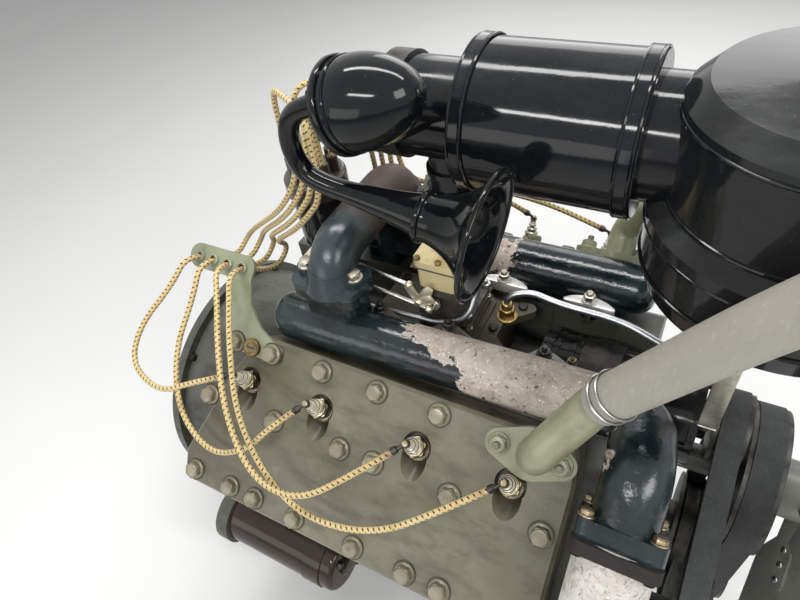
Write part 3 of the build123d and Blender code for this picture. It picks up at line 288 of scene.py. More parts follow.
# %% World
world = bpy.data.worlds.new("studio")
bpy.context.scene.world = world
world.use_nodes = True
world_nodes = world.node_tree.nodes
rays = world_nodes.new("ShaderNodeLightPath")
mirror_or_camera = world_nodes.new("ShaderNodeMath")
mirror_or_camera.operation = "MAXIMUM"
any_white = world_nodes.new("ShaderNodeMath")
any_white.operation = "MAXIMUM"
brightness = world_nodes.new("ShaderNodeMapRange")
brightness.inputs["To Min"].default_value = 0.28
brightness.inputs["To Max"].default_value = 1.0
join = world.node_tree.links.new
join(rays.outputs["Is Camera Ray"], mirror_or_camera.inputs[0])
join(rays.outputs["Is Glossy Ray"], mirror_or_camera.inputs[1])
join(mirror_or_camera.outputs[0], any_white.inputs[0])
join(rays.outputs["Is Transmission Ray"], any_white.inputs[1])
join(any_white.outputs[0], brightness.inputs["Value"])
join(brightness.outputs["Result"], world_nodes["Background"].inputs["Strength"])
world_nodes["Background"].inputs["Color"].default_value = (1.0, 1.0, 1.0, 1.0)
bpy.context.scene.view_settings.view_transform = "Standard"
print("world fill", brightness.inputs["To Min"].default_value)


# %% Lamps
def soft_lamp(name, where, target, size, watts):
    lamp = bpy.data.lights.new(name, "AREA")
    lamp.shape = "RECTANGLE"
    lamp.size, lamp.size_y = size
    lamp.energy = watts
    holder = bpy.data.objects.new(name, lamp)
    bpy.context.scene.collection.objects.link(holder)
    holder.location = where
    holder.rotation_euler = (Vector(target) - Vector(where)).to_track_quat("-Z", "Y").to_euler()


soft_lamp("overhead_band", (0.35, 0.35, 2.2), (0.40, 0.0, 0.3), (2.4, 0.2), 36)
soft_lamp("front_window", (2.1, -0.9, 1.7), (0.5, 0.0, 0.3), (1.2, 0.8), 26)
soft_lamp("side_window", (0.2, -1.9, 2.05), (0.5, 0.0, 0.4), (1.3, 0.16), 24)
soft_lamp("low_side_fill", (-0.4, -2.2, 0.6), (0.4, 0.0, 0.1), (1.6, 0.8), 8)
soft_lamp("far_side_fill", (0.3, 2.3, 1.3), (0.4, 0.0, 0.2), (2.0, 1.2), 18)
print("five soft lamps")

# %% [markdown]
# ## Building small parts
# Bolts, nuts, plugs and clamps are turned or cut from bar, so they are made that way here.
# `turned` spins a profile round its axis, as a lathe does. `prism`, `block` and `cut_plate`
# start from a cone, a cube and an outline, and a narrow bevel breaks their edges, because an
# edge that catches no light looks drawn. All are loose meshes, which are stamped wherever
# one is fitted.

# %% Lathe
def turned(profile, steps=32):
    """A solid of revolution about Z from (radius, height) pairs in millimetres."""
    shape = bmesh.new()
    dots = [shape.verts.new(mm(r, 0, z)) for r, z in profile]
    runs = [shape.edges.new(pair) for pair in zip(dots, dots[1:])]
    bmesh.ops.spin(shape, geom=dots + runs, cent=(0, 0, 0), axis=(0, 0, 1), angle=2 * pi,
                   steps=steps, use_merge=True)
    bmesh.ops.remove_doubles(shape, verts=shape.verts, dist=1e-6)
    bmesh.ops.recalc_face_normals(shape, faces=shape.faces)
    return shape


def washer(radius, low, high, steps=32):
    return turned([(0, low), (radius, low), (radius, high), (0, high)], steps)


def stud_end(radius, low, high, chamfer=0.8, dome=0.0, steps=16):
    """The end of a stud with a chamfered tip, between two heights."""
    profile = [(0, low), (radius, low), (radius, high - 1), (radius - chamfer, high), (0, high + dome)]
    return turned(profile, steps)


def wire_ring(radius, height, half_width, half_height, steps=8):
    """The closed profile of a wire or a rolled edge that runs round the axis."""
    turns = [2 * pi * k / steps for k in range(steps + 1)]
    return [(radius + half_width * cos(turn), height + half_height * sin(turn)) for turn in turns]


print("the lathe is ready")


# %% Saw and file
def break_edges(shape, width):
    """Takes the sharpness off every edge, as a file does, by a width in millimetres."""
    bmesh.ops.bevel(shape, geom=shape.edges, offset=width / 1000, offset_type="OFFSET",
                    segments=2, profile=0.5, affect="EDGES", material=-1, clamp_overlap=True)


def prism(radius, height, sides=6, soft=0.6):
    """A bar end standing on Z = 0 with its edges broken, in millimetres."""
    shape = bmesh.new()
    bmesh.ops.create_cone(shape, cap_ends=True, segments=sides, radius1=radius / 1000,
                          radius2=radius / 1000, depth=height / 1000)
    bmesh.ops.translate(shape, verts=shape.verts, vec=mm(0, 0, height / 2))
    if soft:
        break_edges(shape, soft)
    return shape


def block(size, soft=0.8):
    """A small machined block centred on the origin, in millimetres."""
    shape = bmesh.new()
    bmesh.ops.create_cube(shape, size=1)
    bmesh.ops.scale(shape, verts=shape.verts, vec=mm(*size))
    break_edges(shape, soft)
    return shape


def cut_plate(outline, thickness, soft=0.6):
    """A flat plate from its outline in millimetres, standing on Z = 0."""
    shape = bmesh.new()
    face = shape.faces.new([shape.verts.new(mm(x, y, 0)) for x, y in outline])
    grown = bmesh.ops.extrude_face_region(shape, geom=[face])
    top = [part for part in grown["geom"] if isinstance(part, bmesh.types.BMVert)]
    bmesh.ops.translate(shape, verts=top, vec=mm(0, 0, thickness))
    bmesh.ops.recalc_face_normals(shape, faces=shape.faces)
    if soft:
        break_edges(shape, soft)
    return shape


def oblong(half_width, half_height):
    """The outline of a rectangle about the origin."""
    return [(-half_width, -half_height), (half_width, -half_height), (half_width, half_height),
            (-half_width, half_height)]


def rod(start, end, radius):
    """A round rod between two places in metres, its radius in millimetres."""
    way = end - start
    shape = prism(radius, way.length * 1000, 16, 0.3)
    any_side = Vector((0.31, 0.2, 0.93))
    bmesh.ops.transform(shape, matrix=facing(start, way, any_side), verts=shape.verts)
    return shape


print("the saw and the file are ready")

# %% [markdown]
# An object can wear several materials, as each of its faces holds the number of one. A
# `Fitting` uses that: it gathers stamped shapes, remembers the finish of each, and becomes
# one object at the end. A mirrored stamp comes out with its faces inwards, so `put` turns
# them round again.

# %% Fitting
class Fitting:
    """One scene piece gathered from stamped shapes, each with the finish it is given."""

    def __init__(self, name):
        self.name = name
        self.shape = bmesh.new()
        self.finishes = []

    def put(self, stamp, finish, *places, again=False):
        """Copies the stamp to each place, a matrix. It is freed unless it is used again."""
        if finish not in self.finishes:
            self.finishes.append(finish)
        slot = self.finishes.index(finish)
        for part in stamp.faces:
            part.material_index = slot
        mesh = bpy.data.meshes.new("stamp")
        stamp.to_mesh(mesh)
        for place in places or (Matrix.Identity(4),):
            before = len(self.shape.verts)
            self.shape.from_mesh(mesh)
            self.shape.verts.ensure_lookup_table()
            fresh = self.shape.verts[before:]
            bmesh.ops.transform(self.shape, matrix=place, verts=fresh)
            if place.determinant() < 0:
                mirrored_faces = {face for vert in fresh for face in vert.link_faces}
                bmesh.ops.reverse_faces(self.shape, faces=list(mirrored_faces))
        bpy.data.meshes.remove(mesh)
        if not again:
            stamp.free()

    def finish(self, slot, body="root", replaces=(), crease=32):
        """Makes the gathered shape an object and hands it to the frame."""
        mesh = bpy.data.meshes.new(self.name)
        self.shape.to_mesh(mesh)
        self.shape.free()
        for finish in self.finishes:
            mesh.materials.append(finish.material)
        mesh.polygons.foreach_set("use_smooth", [True] * len(mesh.polygons))
        mesh.set_sharp_from_angle(angle=radians(crease))
        piece = bpy.data.objects.new(self.name, mesh)
        bpy.context.scene.collection.objects.link(piece)
        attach(piece, body)
        if replaces:
            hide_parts(*replaces)
        print(self.name, len(mesh.polygons), "faces")


print("fittings can be gathered")

# %% [markdown]
# ## Cotton-braided plug leads
# A 7 mm ignition lead is a rubber-covered wire in a braid of cream cotton with dark tracer
# threads, which show as slanting dashes in staggered rows. A lead is springy, so it never
# has a corner: its line is a NURBS spline that a few control points pull along. They are
# the points of the CAD tubes, but for two behind the right bracket, where the bend is wider
# here. The tube has a UV map of its own, measured in millimetres along the lead, so the
# tracer dashes keep their size on a long lead and on a short one.

# %% Braid finish
def braided_cotton():
    made = Finish("lead_braid", roughness=0.72)
    made.shader.inputs["Sheen Weight"].default_value = 0.25
    uv = made.add("ShaderNodeUVMap", uv_map="braid").outputs["UV"]
    dash_pitch = 6.6
    along = made.maths("DIVIDE", made.axis("X", uv), dash_pitch)
    around = made.axis("Y", uv)
    right_hand = made.maths("FRACT", made.maths("MULTIPLY_ADD", around, 2.0, along))
    left_hand = made.maths("FRACT", made.maths("MULTIPLY_ADD", around, -2.0, along))
    dash_long = made.band(made.maths("ABSOLUTE", made.minus(right_hand, 0.5)), 0.34, 0.29)
    dash_wide = made.band(made.maths("ABSOLUTE", made.minus(left_hand, 0.5)), 0.17, 0.13)
    tracer = made.times(dash_long, dash_wide)
    strand_a = made.maths("MULTIPLY_ADD", around, 10.0, made.times(along, 5.0))
    strand_b = made.maths("MULTIPLY_ADD", around, -10.0, made.times(along, 5.0))
    weave = made.times(made.maths("PINGPONG", strand_a, 0.5), made.maths("PINGPONG", strand_b, 0.5))
    weave = made.times(weave, 4.0)
    cream = made.blend(made.noise(30, 3), (0.78, 0.59, 0.24), (0.88, 0.74, 0.40))
    # The weave's low places between the strands are painted darker, as shade.
    cream = made.blend(made.band(weave, 0.25, 0.0), cream, (0.42, 0.27, 0.085))
    cream = made.blend(made.band(made.noise(9, 6), 0.56, 0.72), cream, (0.54, 0.36, 0.13))
    soot = made.add("ShaderNodeAttribute", attribute_name="soot").outputs["Fac"]
    soot = made.times(soot, made.band(made.noise(5, 5), 0.25, 0.6))
    cream = made.blend(soot, cream, (0.23, 0.10, 0.045))
    made.colour(made.blend(tracer, cream, (0.012, 0.009, 0.008)))
    made.bump((weave, 0.35), (tracer, 0.12))
    return made


braid = braided_cotton()
print("braid finish with", len(braid.tree.nodes), "nodes")

# %% [markdown]
# The routes run out of the distributor cap's towers, over the top, and down through a
# bracket with a hole for each lead, then across the head to the plug. The last 16 mm are
# left for the metal clip. Places along the bank are written as (along, up, out from the
# head), in the same order as the CAD's.

# %% Ends of the leads
cap_z = 446.0
bore_x = (243.0, 351.0, 479.0, 587.0)
plug_lean = radians(18)
plug_axis = Vector((0, (sin(plug_lean) - cos(plug_lean)) * slope, (sin(plug_lean) + cos(plug_lean)) * slope))
plug_seats = [bank(x, 76, head_top - 9) for x in bore_x]
plug_height = 0.048
plug_tips = [seat + plug_axis * plug_height for seat in plug_seats]
clip_length = 0.016
ferrule_first = 126
ferrule_pitch = 23.7
ferrule_up = 214
tab_up = 174
tab_pitch = 10
tower_circle = 27
tower_mouth = 490


def tower(k):
    """The mouth of one of the eight towers round the distributor cap."""
    angle = radians(22.5 + 45 * k)
    return mm(250 + tower_circle * cos(angle), 30 + tower_circle * sin(angle), tower_mouth)


def ferrule(k, out=0):
    """A hole of the right bracket, or a place that far out from it."""
    return bank(ferrule_first + ferrule_pitch * k, ferrule_up, head_top + out)


def tab_hole(k, x=342):
    """A hole of the left bracket's tab, which stands up from the head, or a place beside it."""
    return other_side(bank(x, tab_up, head_top + 17 + tab_pitch * k))


print("plug tips up to", round(plug_tips[0].z, 3), "m high, cap towers at", round(tower(0).z, 3))


# %% Routes of the leads
def over_the_top(start, crest):
    """The first points of a lead, straight up from its tower and over to its crest."""
    top = Vector((start.x, start.y, crest.z))
    route = [start, top]
    if (crest - top).length > 0.1:
        route.append((top + crest) / 2 + mm(0, 0, 6))
    return [*route, crest]


def end_at_plug(name, route, hole, tip):
    """Ends the route a clip's length before the plug and files it under the lead's name."""
    route.append(tip + (route[-1] - tip).normalized() * clip_length)
    lead_routes[name] = route
    lead_ties[name] = (hole, tip)


turns_right = [
    [(112, 169, 29), (74, 105, 31), (79, 53, 37), (146, 37, 47), (186, 62, 43)],
    [(153, 164, 31), (140, 90, 29), (163, 18, 27), (227, -17, 29), (284, 8, 35), (314, 50, 40)],
    [(196, 172, 37), (225, 123, 53), (260, 54, 59), (317, -4, 61), (383, -6, 62), (435, 42, 56)],
    [(217, 172, 39), (242, 128, 53), (272, 52, 51), (330, -6, 47), (396, -28, 45), (474, -10, 44),
     (535, 42, 45)],
]
turns_left = [
    [(376, 174, 17), (428, 158, 27), (432, 100, 33), (392, 50, 35), (322, 42, 37), (284, 62, 39)],
    [(376, 174, 27), (410, 156, 33), (412, 118, 39)],
    [(376, 174, 37), (420, 158, 49), (448, 124, 49)],
    [(376, 174, 47), (440, 160, 57), (500, 128, 55), (545, 104, 47)],
]
bundle = [((296, -36, 502), 13), ((280, -42, 476), 11), ((250, -43, 444), 10), ((200, -34, 406), 10)]
bundle_way = mm(-0.80, 0.15, 0.58)
lead_routes = {}
lead_ties = {}
for k in range(4):
    ferrule_x = ferrule_first + ferrule_pitch * k
    knots = [mm(*centre) + bundle_way * (pitch * (1.5 - k)) for centre, pitch in bundle]
    crest = Vector((knots[0].x + 0.006, knots[0].y + 0.004, (cap_z + 110 + 9 * k) / 1000))
    route = over_the_top(tower((5, 6, 7, 4)[k]), crest) + knots
    route += [mm(ferrule_x + 11, -10, 370), mm(ferrule_x + 1, -40, 344), ferrule(k, 29)]
    route += [bank(x, up, head_top + out) for x, up, out in turns_right[k]]
    end_at_plug(f"plug_lead_right_{k + 1}", route, ferrule(k), plug_tips[k])
for k in range(4):
    column_x = 275 + 9 * k
    corner = tab_hole(k, column_x)
    crest = mm(column_x, corner.y * 1000 - 22, cap_z + 92 + 9 * k)
    route = over_the_top(tower((2, 1, 0, 3)[k]), crest)
    route += [(crest + corner) / 2 + mm(3, 6, 0), corner]
    route += [other_side(bank(x, up, head_top + out)) for x, up, out in turns_left[k]]
    end_at_plug(f"plug_lead_left_{k + 1}", route, tab_hole(k), other_side(plug_tips[k]))
print(len(lead_routes), "routes with", sum(len(route) for route in lead_routes.values()), "points")


# %% Lead curves
lead_radius = 0.0035


def spline_object(name, route, radius=0.0):
    curve = bpy.data.curves.new(name, "CURVE")
    curve.dimensions = "3D"
    spline = curve.splines.new("NURBS")
    spline.points.add(len(route) - 1)
    for point, place in zip(spline.points, route):
        point.co = (*place, 1.0)
    spline.order_u = 3
    spline.use_endpoint_u = True
    spline.resolution_u = 14
    curve.resolution_u = 14
    curve.bevel_depth = radius
    curve.bevel_resolution = 6
    curve.use_fill_caps = radius > 0
    return bpy.data.objects.new(name, curve)


def mesh_of(curve_object):
    """The curve as a mesh of its own. The object is taken away again."""
    bpy.context.scene.collection.objects.link(curve_object)
    graph = bpy.context.evaluated_depsgraph_get()
    mesh = bpy.data.meshes.new_from_object(curve_object.evaluated_get(graph))
    bpy.data.objects.remove(curve_object)
    return mesh


print("leads are", lead_radius * 2000, "mm thick")

# %% [markdown]
# Each route becomes a mesh twice: once as a bare line, which gives the lead's length and the
# distance to each ring of the tube, and once as the tube. Oil and heat have darkened the
# cotton near the bracket's holes and at the plugs, which a value on each vertex tells the
# finish.

# %% Leads
for name, route in lead_routes.items():
    line = mesh_of(spline_object(name + "_line", route))
    path = [vertex.co.copy() for vertex in line.vertices]
    mesh = mesh_of(spline_object(name + "_tube", route, lead_radius))
    mesh.name = name
    mesh.uv_layers[0].name = "braid"
    reached = [0.0]
    for a, b in zip(path, path[1:]):
        reached.append(reached[-1] + (b - a).length * 1000)
    for corner in mesh.uv_layers["braid"].data:
        ring = min(len(reached) - 1, round(corner.uv[0] * (len(reached) - 1)))
        corner.uv = (reached[ring], corner.uv[1])
    soot_layer = mesh.attributes.new("soot", "FLOAT", "POINT")
    hole, tip = lead_ties[name]
    for vertex, value in zip(mesh.vertices, soot_layer.data):
        near_hole = max(0.0, 1 - (vertex.co - hole).length / 0.030)
        near_tip = max(0.0, 1 - ((vertex.co - tip).length - clip_length) / 0.026)
        value.value = min(1.0, 0.9 * near_hole + 0.8 * near_tip)
    mesh.materials.append(braid.material)
    mesh.polygons.foreach_set("use_smooth", [True] * len(mesh.polygons))
    lead = bpy.data.objects.new(name + "_braided", mesh)
    bpy.context.scene.collection.objects.link(lead)
    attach(lead, "root")
    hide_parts(name)

# %% [markdown]
# ## Enamels on cast iron
# An engine is brushed over with enamel, which turns satin from years of heat, gathers dirt
# in streaks and is rubbed pale on edges. One recipe, with other colours, does for the block,
# the pale olive brackets, the bolts and the fan, so it is a function.

# %% Painted castings
def enamel(name, paint, grime, rubbed, dullness, grain, grime_share, coat=0.12, mirror=0.5):
    made = Finish(name, coat=coat, coat_roughness=0.25, mirror=mirror)
    cloud = made.noise(85, 3, 0.5)
    colour = made.blend(made.band(cloud, 0.30, 0.72), shade(paint, 0.84), shade(paint, 1.14))
    streaks = made.noise(26, 6, 0.6)
    dirty = made.times(made.band(streaks, 0.46, 0.78), grime_share)
    colour = made.blend(dirty, colour, grime)
    specks = made.band(made.noise(2.6, 6, 0.7), 0.68, 0.74)
    colour = made.stain(colour, specks, 0.55, shade(grime, 0.6))
    chips = made.band(made.noise(11, 10, 0.72), 0.715, 0.735)
    made.colour(made.blend(chips, colour, rubbed))
    made.rough(made.plus(made.times(streaks, 0.7), made.times(dirty, 0.6)), dullness - 0.14, dullness + 0.22)
    made.bump((made.noise(1.7, 3), grain), (made.noise(14, 4), grain * 2.2), (chips, -0.08))
    return made


block_enamel = enamel("block_enamel", (0.060, 0.060, 0.046), (0.018, 0.015, 0.011), (0.16, 0.14, 0.10),
                      0.5, 0.22, 0.8)
olive_fitting = enamel("fitting_enamel", (0.240, 0.262, 0.172), (0.120, 0.116, 0.060), (0.52, 0.50, 0.40),
                       0.38, 0.05, 0.55)
outlet_enamel = enamel("outlet_enamel", (0.252, 0.262, 0.162), (0.100, 0.094, 0.046), (0.50, 0.47, 0.36),
                       0.32, 0.13, 0.65)
bolt_enamel = enamel("bolt_enamel", (0.185, 0.170, 0.106), (0.060, 0.048, 0.024), (0.50, 0.44, 0.30),
                     0.30, 0.05, 0.8)
bolt_worn = enamel("bolt_worn_top", (0.235, 0.215, 0.140), (0.070, 0.056, 0.030), (0.55, 0.51, 0.39),
                   0.26, 0.05, 0.9)
# A dark enamel for grime, also used as painted shade in the plugs' rib grooves, a plug's slot and a bracket
# hole.
grime_and_painted_shade = enamel("grime_and_painted_shade", (0.030, 0.024, 0.015), (0.012, 0.009, 0.006), (0.10, 0.08, 0.05),
                    0.5, 0.10, 0.6)
burnt_iron = enamel("burnt_iron", (0.022, 0.019, 0.017), (0.010, 0.008, 0.006), (0.090, 0.060, 0.040),
                    0.72, 0.45, 0.7, coat=0.0, mirror=0.2)
intake_bronze = enamel("intake_enamel", (0.060, 0.052, 0.034), (0.020, 0.016, 0.010), (0.20, 0.155, 0.085),
                       0.42, 0.25, 0.7)
fan_steel = enamel("fan_enamel", (0.185, 0.195, 0.165), (0.070, 0.066, 0.050), (0.36, 0.35, 0.30),
                   0.42, 0.04, 0.6)
print("nine enamels, each with", len(block_enamel.tree.nodes), "nodes")

# %% [markdown]
# The khaki-grey heads have a recipe of their own, as they fill the view: oil has darkened them
# towards the rear, and the recesses round the plugs are painted darker, as shade. Those lie
# deeper than the face, so the distance out from the engine's axis, worked out from Y and Z,
# finds them. Soft edges keep the painted shade away from the rest of the head.

# %% Head enamel
def plug_recess_shade(made):
    """1 in the sunken part of the head's face, from its place out, up and along the bank."""
    side = made.maths("ABSOLUTE", made.axis("Y"))
    height = made.axis("Z")
    out = made.times(made.plus(height, side), slope)
    up = made.times(made.minus(height, side), slope)
    face = head_top / 1000
    soft = 0.006
    recess = made.band(out, face - 0.0015, face - 0.0092)
    lower_edge = made.band(up, 0.020, 0.020 + soft)
    upper_edge = made.band(up, 0.114, 0.114 - soft)
    front_edge = made.band(made.axis("X"), 0.640, 0.640 - soft)
    for edge in (lower_edge, upper_edge, front_edge):
        recess = made.times(recess, edge)
    return recess


def head_casting():
    made = Finish("head_enamel", coat=0.18, coat_roughness=0.22)
    rearward = made.band(made.maths("MULTIPLY_ADD", made.noise(70, 5), 0.16, made.axis("X")), 0.44, 0.26)
    olive = made.blend(made.band(made.noise(70, 4), 0.3, 0.7), (0.101, 0.095, 0.054), (0.138, 0.130, 0.083))
    streaks = made.noise(22, 7, 0.62, made.stretch(0.35, 1.0, 1.0, (45, 0, 0)))
    olive = made.stain(olive, made.band(streaks, 0.45, 0.66), 0.75, (0.060, 0.052, 0.026))
    olive = made.stain(olive, rearward, 0.75, (0.061, 0.048, 0.021))
    bloom = made.band(made.noise(34, 8, 0.7), 0.56, 0.70)
    olive = made.stain(olive, bloom, 0.45, (0.195, 0.182, 0.132))
    specks = made.band(made.noise(2.2, 5, 0.7), 0.66, 0.72)
    olive = made.stain(olive, specks, 0.75, (0.035, 0.027, 0.016))
    chips = made.band(made.noise(13, 10, 0.74), 0.715, 0.73)
    olive = made.blend(chips, olive, (0.42, 0.36, 0.24))
    # The sunken recesses round the plugs are painted darker, as shade.
    made.colour(made.stain(olive, plug_recess_shade(made), 0.62, (0.020, 0.016, 0.010)))
    made.rough(made.plus(streaks, made.times(specks, 0.3)), 0.26, 0.60)
    made.bump((made.noise(1.6, 3), 0.10), (made.noise(17, 4), 0.30), (chips, -0.08))
    return made


head_enamel = head_casting()
print("head enamel with", len(head_enamel.tree.nodes), "nodes")

# %% [markdown]
# ## Porcelain enamel, burned off
# The exhaust manifolds were dipped in a blue-black glass enamel. Where the gas is hottest
# it has flaked away along a ragged line and left baked, pinkish-grey iron with rust spots.
# The flaked area starts at a slant, so the mask is a straight line in X and Y that noise
# then tears. The rear arch of the crossover pipe is brown with rust for the same reason.

# %% Manifold finishes
def flaked_enamel(name, burned_from, burned_to):
    """Glass enamel that is gone between two places along X, behind a torn edge."""
    made = Finish(name, mirror=0.46)
    x = made.axis("X")
    side = made.maths("MAXIMUM", made.minus(made.maths("ABSOLUTE", made.axis("Y")), 0.095), 0.0)
    tear = made.times(made.minus(made.noise(34, 12, 0.66), 0.5), 0.15)
    edge = made.plus(made.minus(x, made.times(side, 3.1)), tear)
    blur = 0.0012
    bare = made.times(made.band(edge, burned_from - blur, burned_from + blur),
                      made.band(made.plus(x, tear), burned_to + blur, burned_to - blur))
    islands = made.band(made.noise(26, 10, 0.66), 0.605, 0.612)
    bare = made.times(bare, made.minus(1.0, islands))
    glass = made.blend(made.band(made.noise(46, 5), 0.35, 0.7), (0.004, 0.0085, 0.0105),
                       (0.019, 0.031, 0.034))
    dust = made.band(made.noise(7, 9, 0.74, made.stretch(0.6, 1, 1), 0.6), 0.56, 0.72)
    glass = made.stain(glass, dust, 0.22, (0.18, 0.20, 0.18))
    nicks = made.band(made.noise(8, 11, 0.78), 0.685, 0.70)
    glass = made.blend(nicks, glass, (0.46, 0.43, 0.36))
    iron = made.blend(made.band(made.noise(20, 6, 0.6), 0.3, 0.7), (0.375, 0.312, 0.262),
                      (0.55, 0.488, 0.422))
    rust = made.band(made.noise(3.2, 8, 0.75), 0.53, 0.66)
    iron = made.stain(iron, rust, 0.7, (0.270, 0.185, 0.125))
    pits = made.band(made.noise(6.5, 10, 0.8), 0.585, 0.615)
    iron = made.blend(pits, iron, (0.050, 0.032, 0.023))
    pale = made.band(made.noise(4.0, 7, 0.7, made.stretch(1.3, 1, 1)), 0.585, 0.615)
    iron = made.blend(pale, iron, (0.74, 0.70, 0.64))
    rim = made.band(made.maths("ABSOLUTE", made.minus(edge, burned_from)), 0.007, 0.001)
    iron = made.stain(iron, rim, 0.6, (0.78, 0.72, 0.65))
    made.colour(made.blend(bare, glass, iron))
    made.rough(made.plus(made.times(bare, 0.75), made.times(dust, 0.2)), 0.08, 0.95)
    made.bump((made.minus(1.0, bare), 0.45), (made.noise(2.2, 5, 0.7), 0.16), (made.times(pits, bare), -0.30),
              (made.noise(24, 3), 1.1), (made.noise(11, 3), 0.25))
    return made


def smoked_enamel():
    made = Finish("crossover_enamel", mirror=0.44)
    inward = made.maths("MULTIPLY_ADD", made.noise(30, 9, 0.65), 0.05, made.axis("Y"))
    rusty = made.band(inward, -0.018, 0.012)
    rust = made.blend(made.noise(9, 8, 0.7), (0.010, 0.007, 0.005), (0.060, 0.033, 0.020))
    smoked = made.blend(made.noise(30, 5), (0.012, 0.020, 0.026), (0.042, 0.058, 0.062))
    rubs = made.band(made.noise(6, 9, 0.72), 0.66, 0.70)
    smoked = made.stain(smoked, rubs, 0.5, (0.22, 0.23, 0.22))
    made.colour(made.blend(rusty, smoked, rust))
    made.rough(made.maths("MULTIPLY_ADD", rusty, 0.6, rubs), 0.20, 0.85)
    made.bump((made.noise(2.0, 5), 0.18), (made.noise(19, 4), 0.45))
    return made


manifold_right_finish = flaked_enamel("manifold_enamel_right", 0.420, 0.662)
manifold_left_finish = flaked_enamel("manifold_enamel_left", 0.455, 0.500)
crossover_finish = smoked_enamel()
print("manifold enamel with", len(manifold_right_finish.tree.nodes), "nodes")

# %% [markdown]
# ## Gloss black and bare metals
# Gloss-black stove enamel is nearly a mirror: hardly any colour or roughness, a faint orange
# peel, and a paler layer on what faces up, partly dust that settles there and partly painted
# sky reflection. Plated steel, brass and cast aluminium each get fine scratches and stains
# instead of one flat colour.

# %% Gloss black
def gloss_black(name, dust_and_sheen_share=0.35, peel=0.02, tint=(0.0035, 0.004, 0.005), mirror=0.26):
    made = Finish(name, mirror=mirror)
    smear = made.noise(60, 6, 0.6, made.stretch(0.5, 1, 1))
    wiped = made.band(made.noise(9, 8, 0.7, made.stretch(0.25, 1.2, 1)), 0.50, 0.72)
    specks = made.band(made.noise(1.8, 4, 0.7), 0.66, 0.71)
    facing_up = made.add("ShaderNodeNewGeometry").outputs["Normal"]
    # What faces up is painted paler: partly settled dust, partly painted sky reflection.
    top = made.band(made.axis("Z", facing_up), 0.15, 0.95)
    dust = made.times(made.band(smear, 0.42, 0.75), made.times(top, dust_and_sheen_share))
    dust = made.plus(dust, made.times(wiped, dust_and_sheen_share * 0.18))
    colour = made.blend(dust, made.blend(smear, tint, shade(tint, 2.4)), (0.060, 0.061, 0.060))
    made.colour(made.stain(colour, specks, 0.30, (0.20, 0.20, 0.19)))
    made.rough(made.plus(dust, made.times(smear, 0.25)), 0.045, 0.42)
    made.bump((made.noise(3.5, 2), peel), (specks, 0.05), (made.noise(38, 2), 0.25))
    return made


silencer_black = gloss_black("silencer_black")
# The cleaner's larger share paints more sky reflection on its upper faces, along with its dust.
cleaner_black = gloss_black("cleaner_black", 0.55, 0.03, (0.007, 0.0075, 0.008), 0.24)
horn_black = gloss_black("horn_black", 0.12, 0.01, (0.002, 0.0025, 0.003), 0.26)
generator_black = gloss_black("generator_black", 0.7, 0.03, (0.007, 0.007, 0.007), 0.24)
pan_black = gloss_black("pan_black", 0.5, 0.08, (0.010, 0.010, 0.010), 0.24)
starter_brown = gloss_black("starter_brown", 0.5, 0.06, (0.020, 0.012, 0.008), 0.28)
print("six gloss enamels")

# %% [markdown]
# A metal has no colour besides that of its reflections, so Metallic is 1 and the base colour
# tints them. Broad patches of stain, fine scratches drawn out along one axis and, on a
# casting, a coarse grain tell one metal from another.

# %% Metals
def plated(name, bright, stain, roughness, scratch, stained, cast=0.0):
    made = Finish(name, metallic=1.0)
    patches = made.noise(16, 7, 0.62)
    fine = made.noise(1.2, 5, 0.7, made.stretch(0.3, 1, 1.6))
    colour = made.stain(bright, made.band(patches, 0.42, 0.70), stained, stain)
    made.colour(made.blend(made.band(fine, 0.62, 0.72), colour, shade(stain, 0.8)))
    made.rough(made.plus(made.times(patches, 0.6), made.times(fine, 0.4)), roughness - 0.10, roughness + 0.25)
    layers = [(fine, scratch)]
    if cast:
        layers.append((made.noise(1.6, 4, 0.6), cast))
    made.bump(*layers)
    return made


bright_steel = plated("bright_steel", (0.50, 0.50, 0.48), (0.20, 0.185, 0.155), 0.24, 0.04, 0.75)
dark_steel = plated("dark_steel", (0.072, 0.070, 0.066), (0.026, 0.021, 0.017), 0.36, 0.05, 0.8)
plug_plate = plated("plug_plate", (0.44, 0.38, 0.25), (0.12, 0.090, 0.050), 0.24, 0.03, 0.85)
plug_shell = plated("plug_shell", (0.17, 0.155, 0.13), (0.050, 0.040, 0.028), 0.32, 0.04, 0.8)
nickel_nut = plated("nickel_nut", (0.46, 0.44, 0.37), (0.20, 0.18, 0.13), 0.30, 0.03, 0.7)
dull_brass = plated("dull_brass", (0.24, 0.175, 0.085), (0.095, 0.066, 0.032), 0.40, 0.04, 0.8)
worn_bolt = plated("worn_bolt", (0.34, 0.28, 0.19), (0.13, 0.085, 0.050), 0.36, 0.04, 0.8)
cast_aluminium = plated("cast_aluminium", (0.78, 0.77, 0.74), (0.50, 0.48, 0.44), 0.46, 0.03, 0.6, 0.16)
brass = plated("brass", (0.52, 0.375, 0.150), (0.20, 0.135, 0.055), 0.32, 0.03, 0.8)
zinc = plated("zinc_plate", (0.74, 0.69, 0.56), (0.48, 0.42, 0.28), 0.40, 0.03, 0.6)
throttle_iron = plated("throttle_casting", (0.16, 0.155, 0.145), (0.060, 0.055, 0.048), 0.50, 0.05, 0.7, 0.16)
tube_metal = plated("tube_plate", (0.50, 0.52, 0.54), (0.32, 0.33, 0.34), 0.30, 0.01, 0.5)
print("twelve metals, each with", len(brass.tree.nodes), "nodes")

# %% [markdown]
# The carburettor is two castings of different metal. Its cover has a cream passivated
# finish that fuel has stained brown, and its lower half is grey, so height decides.

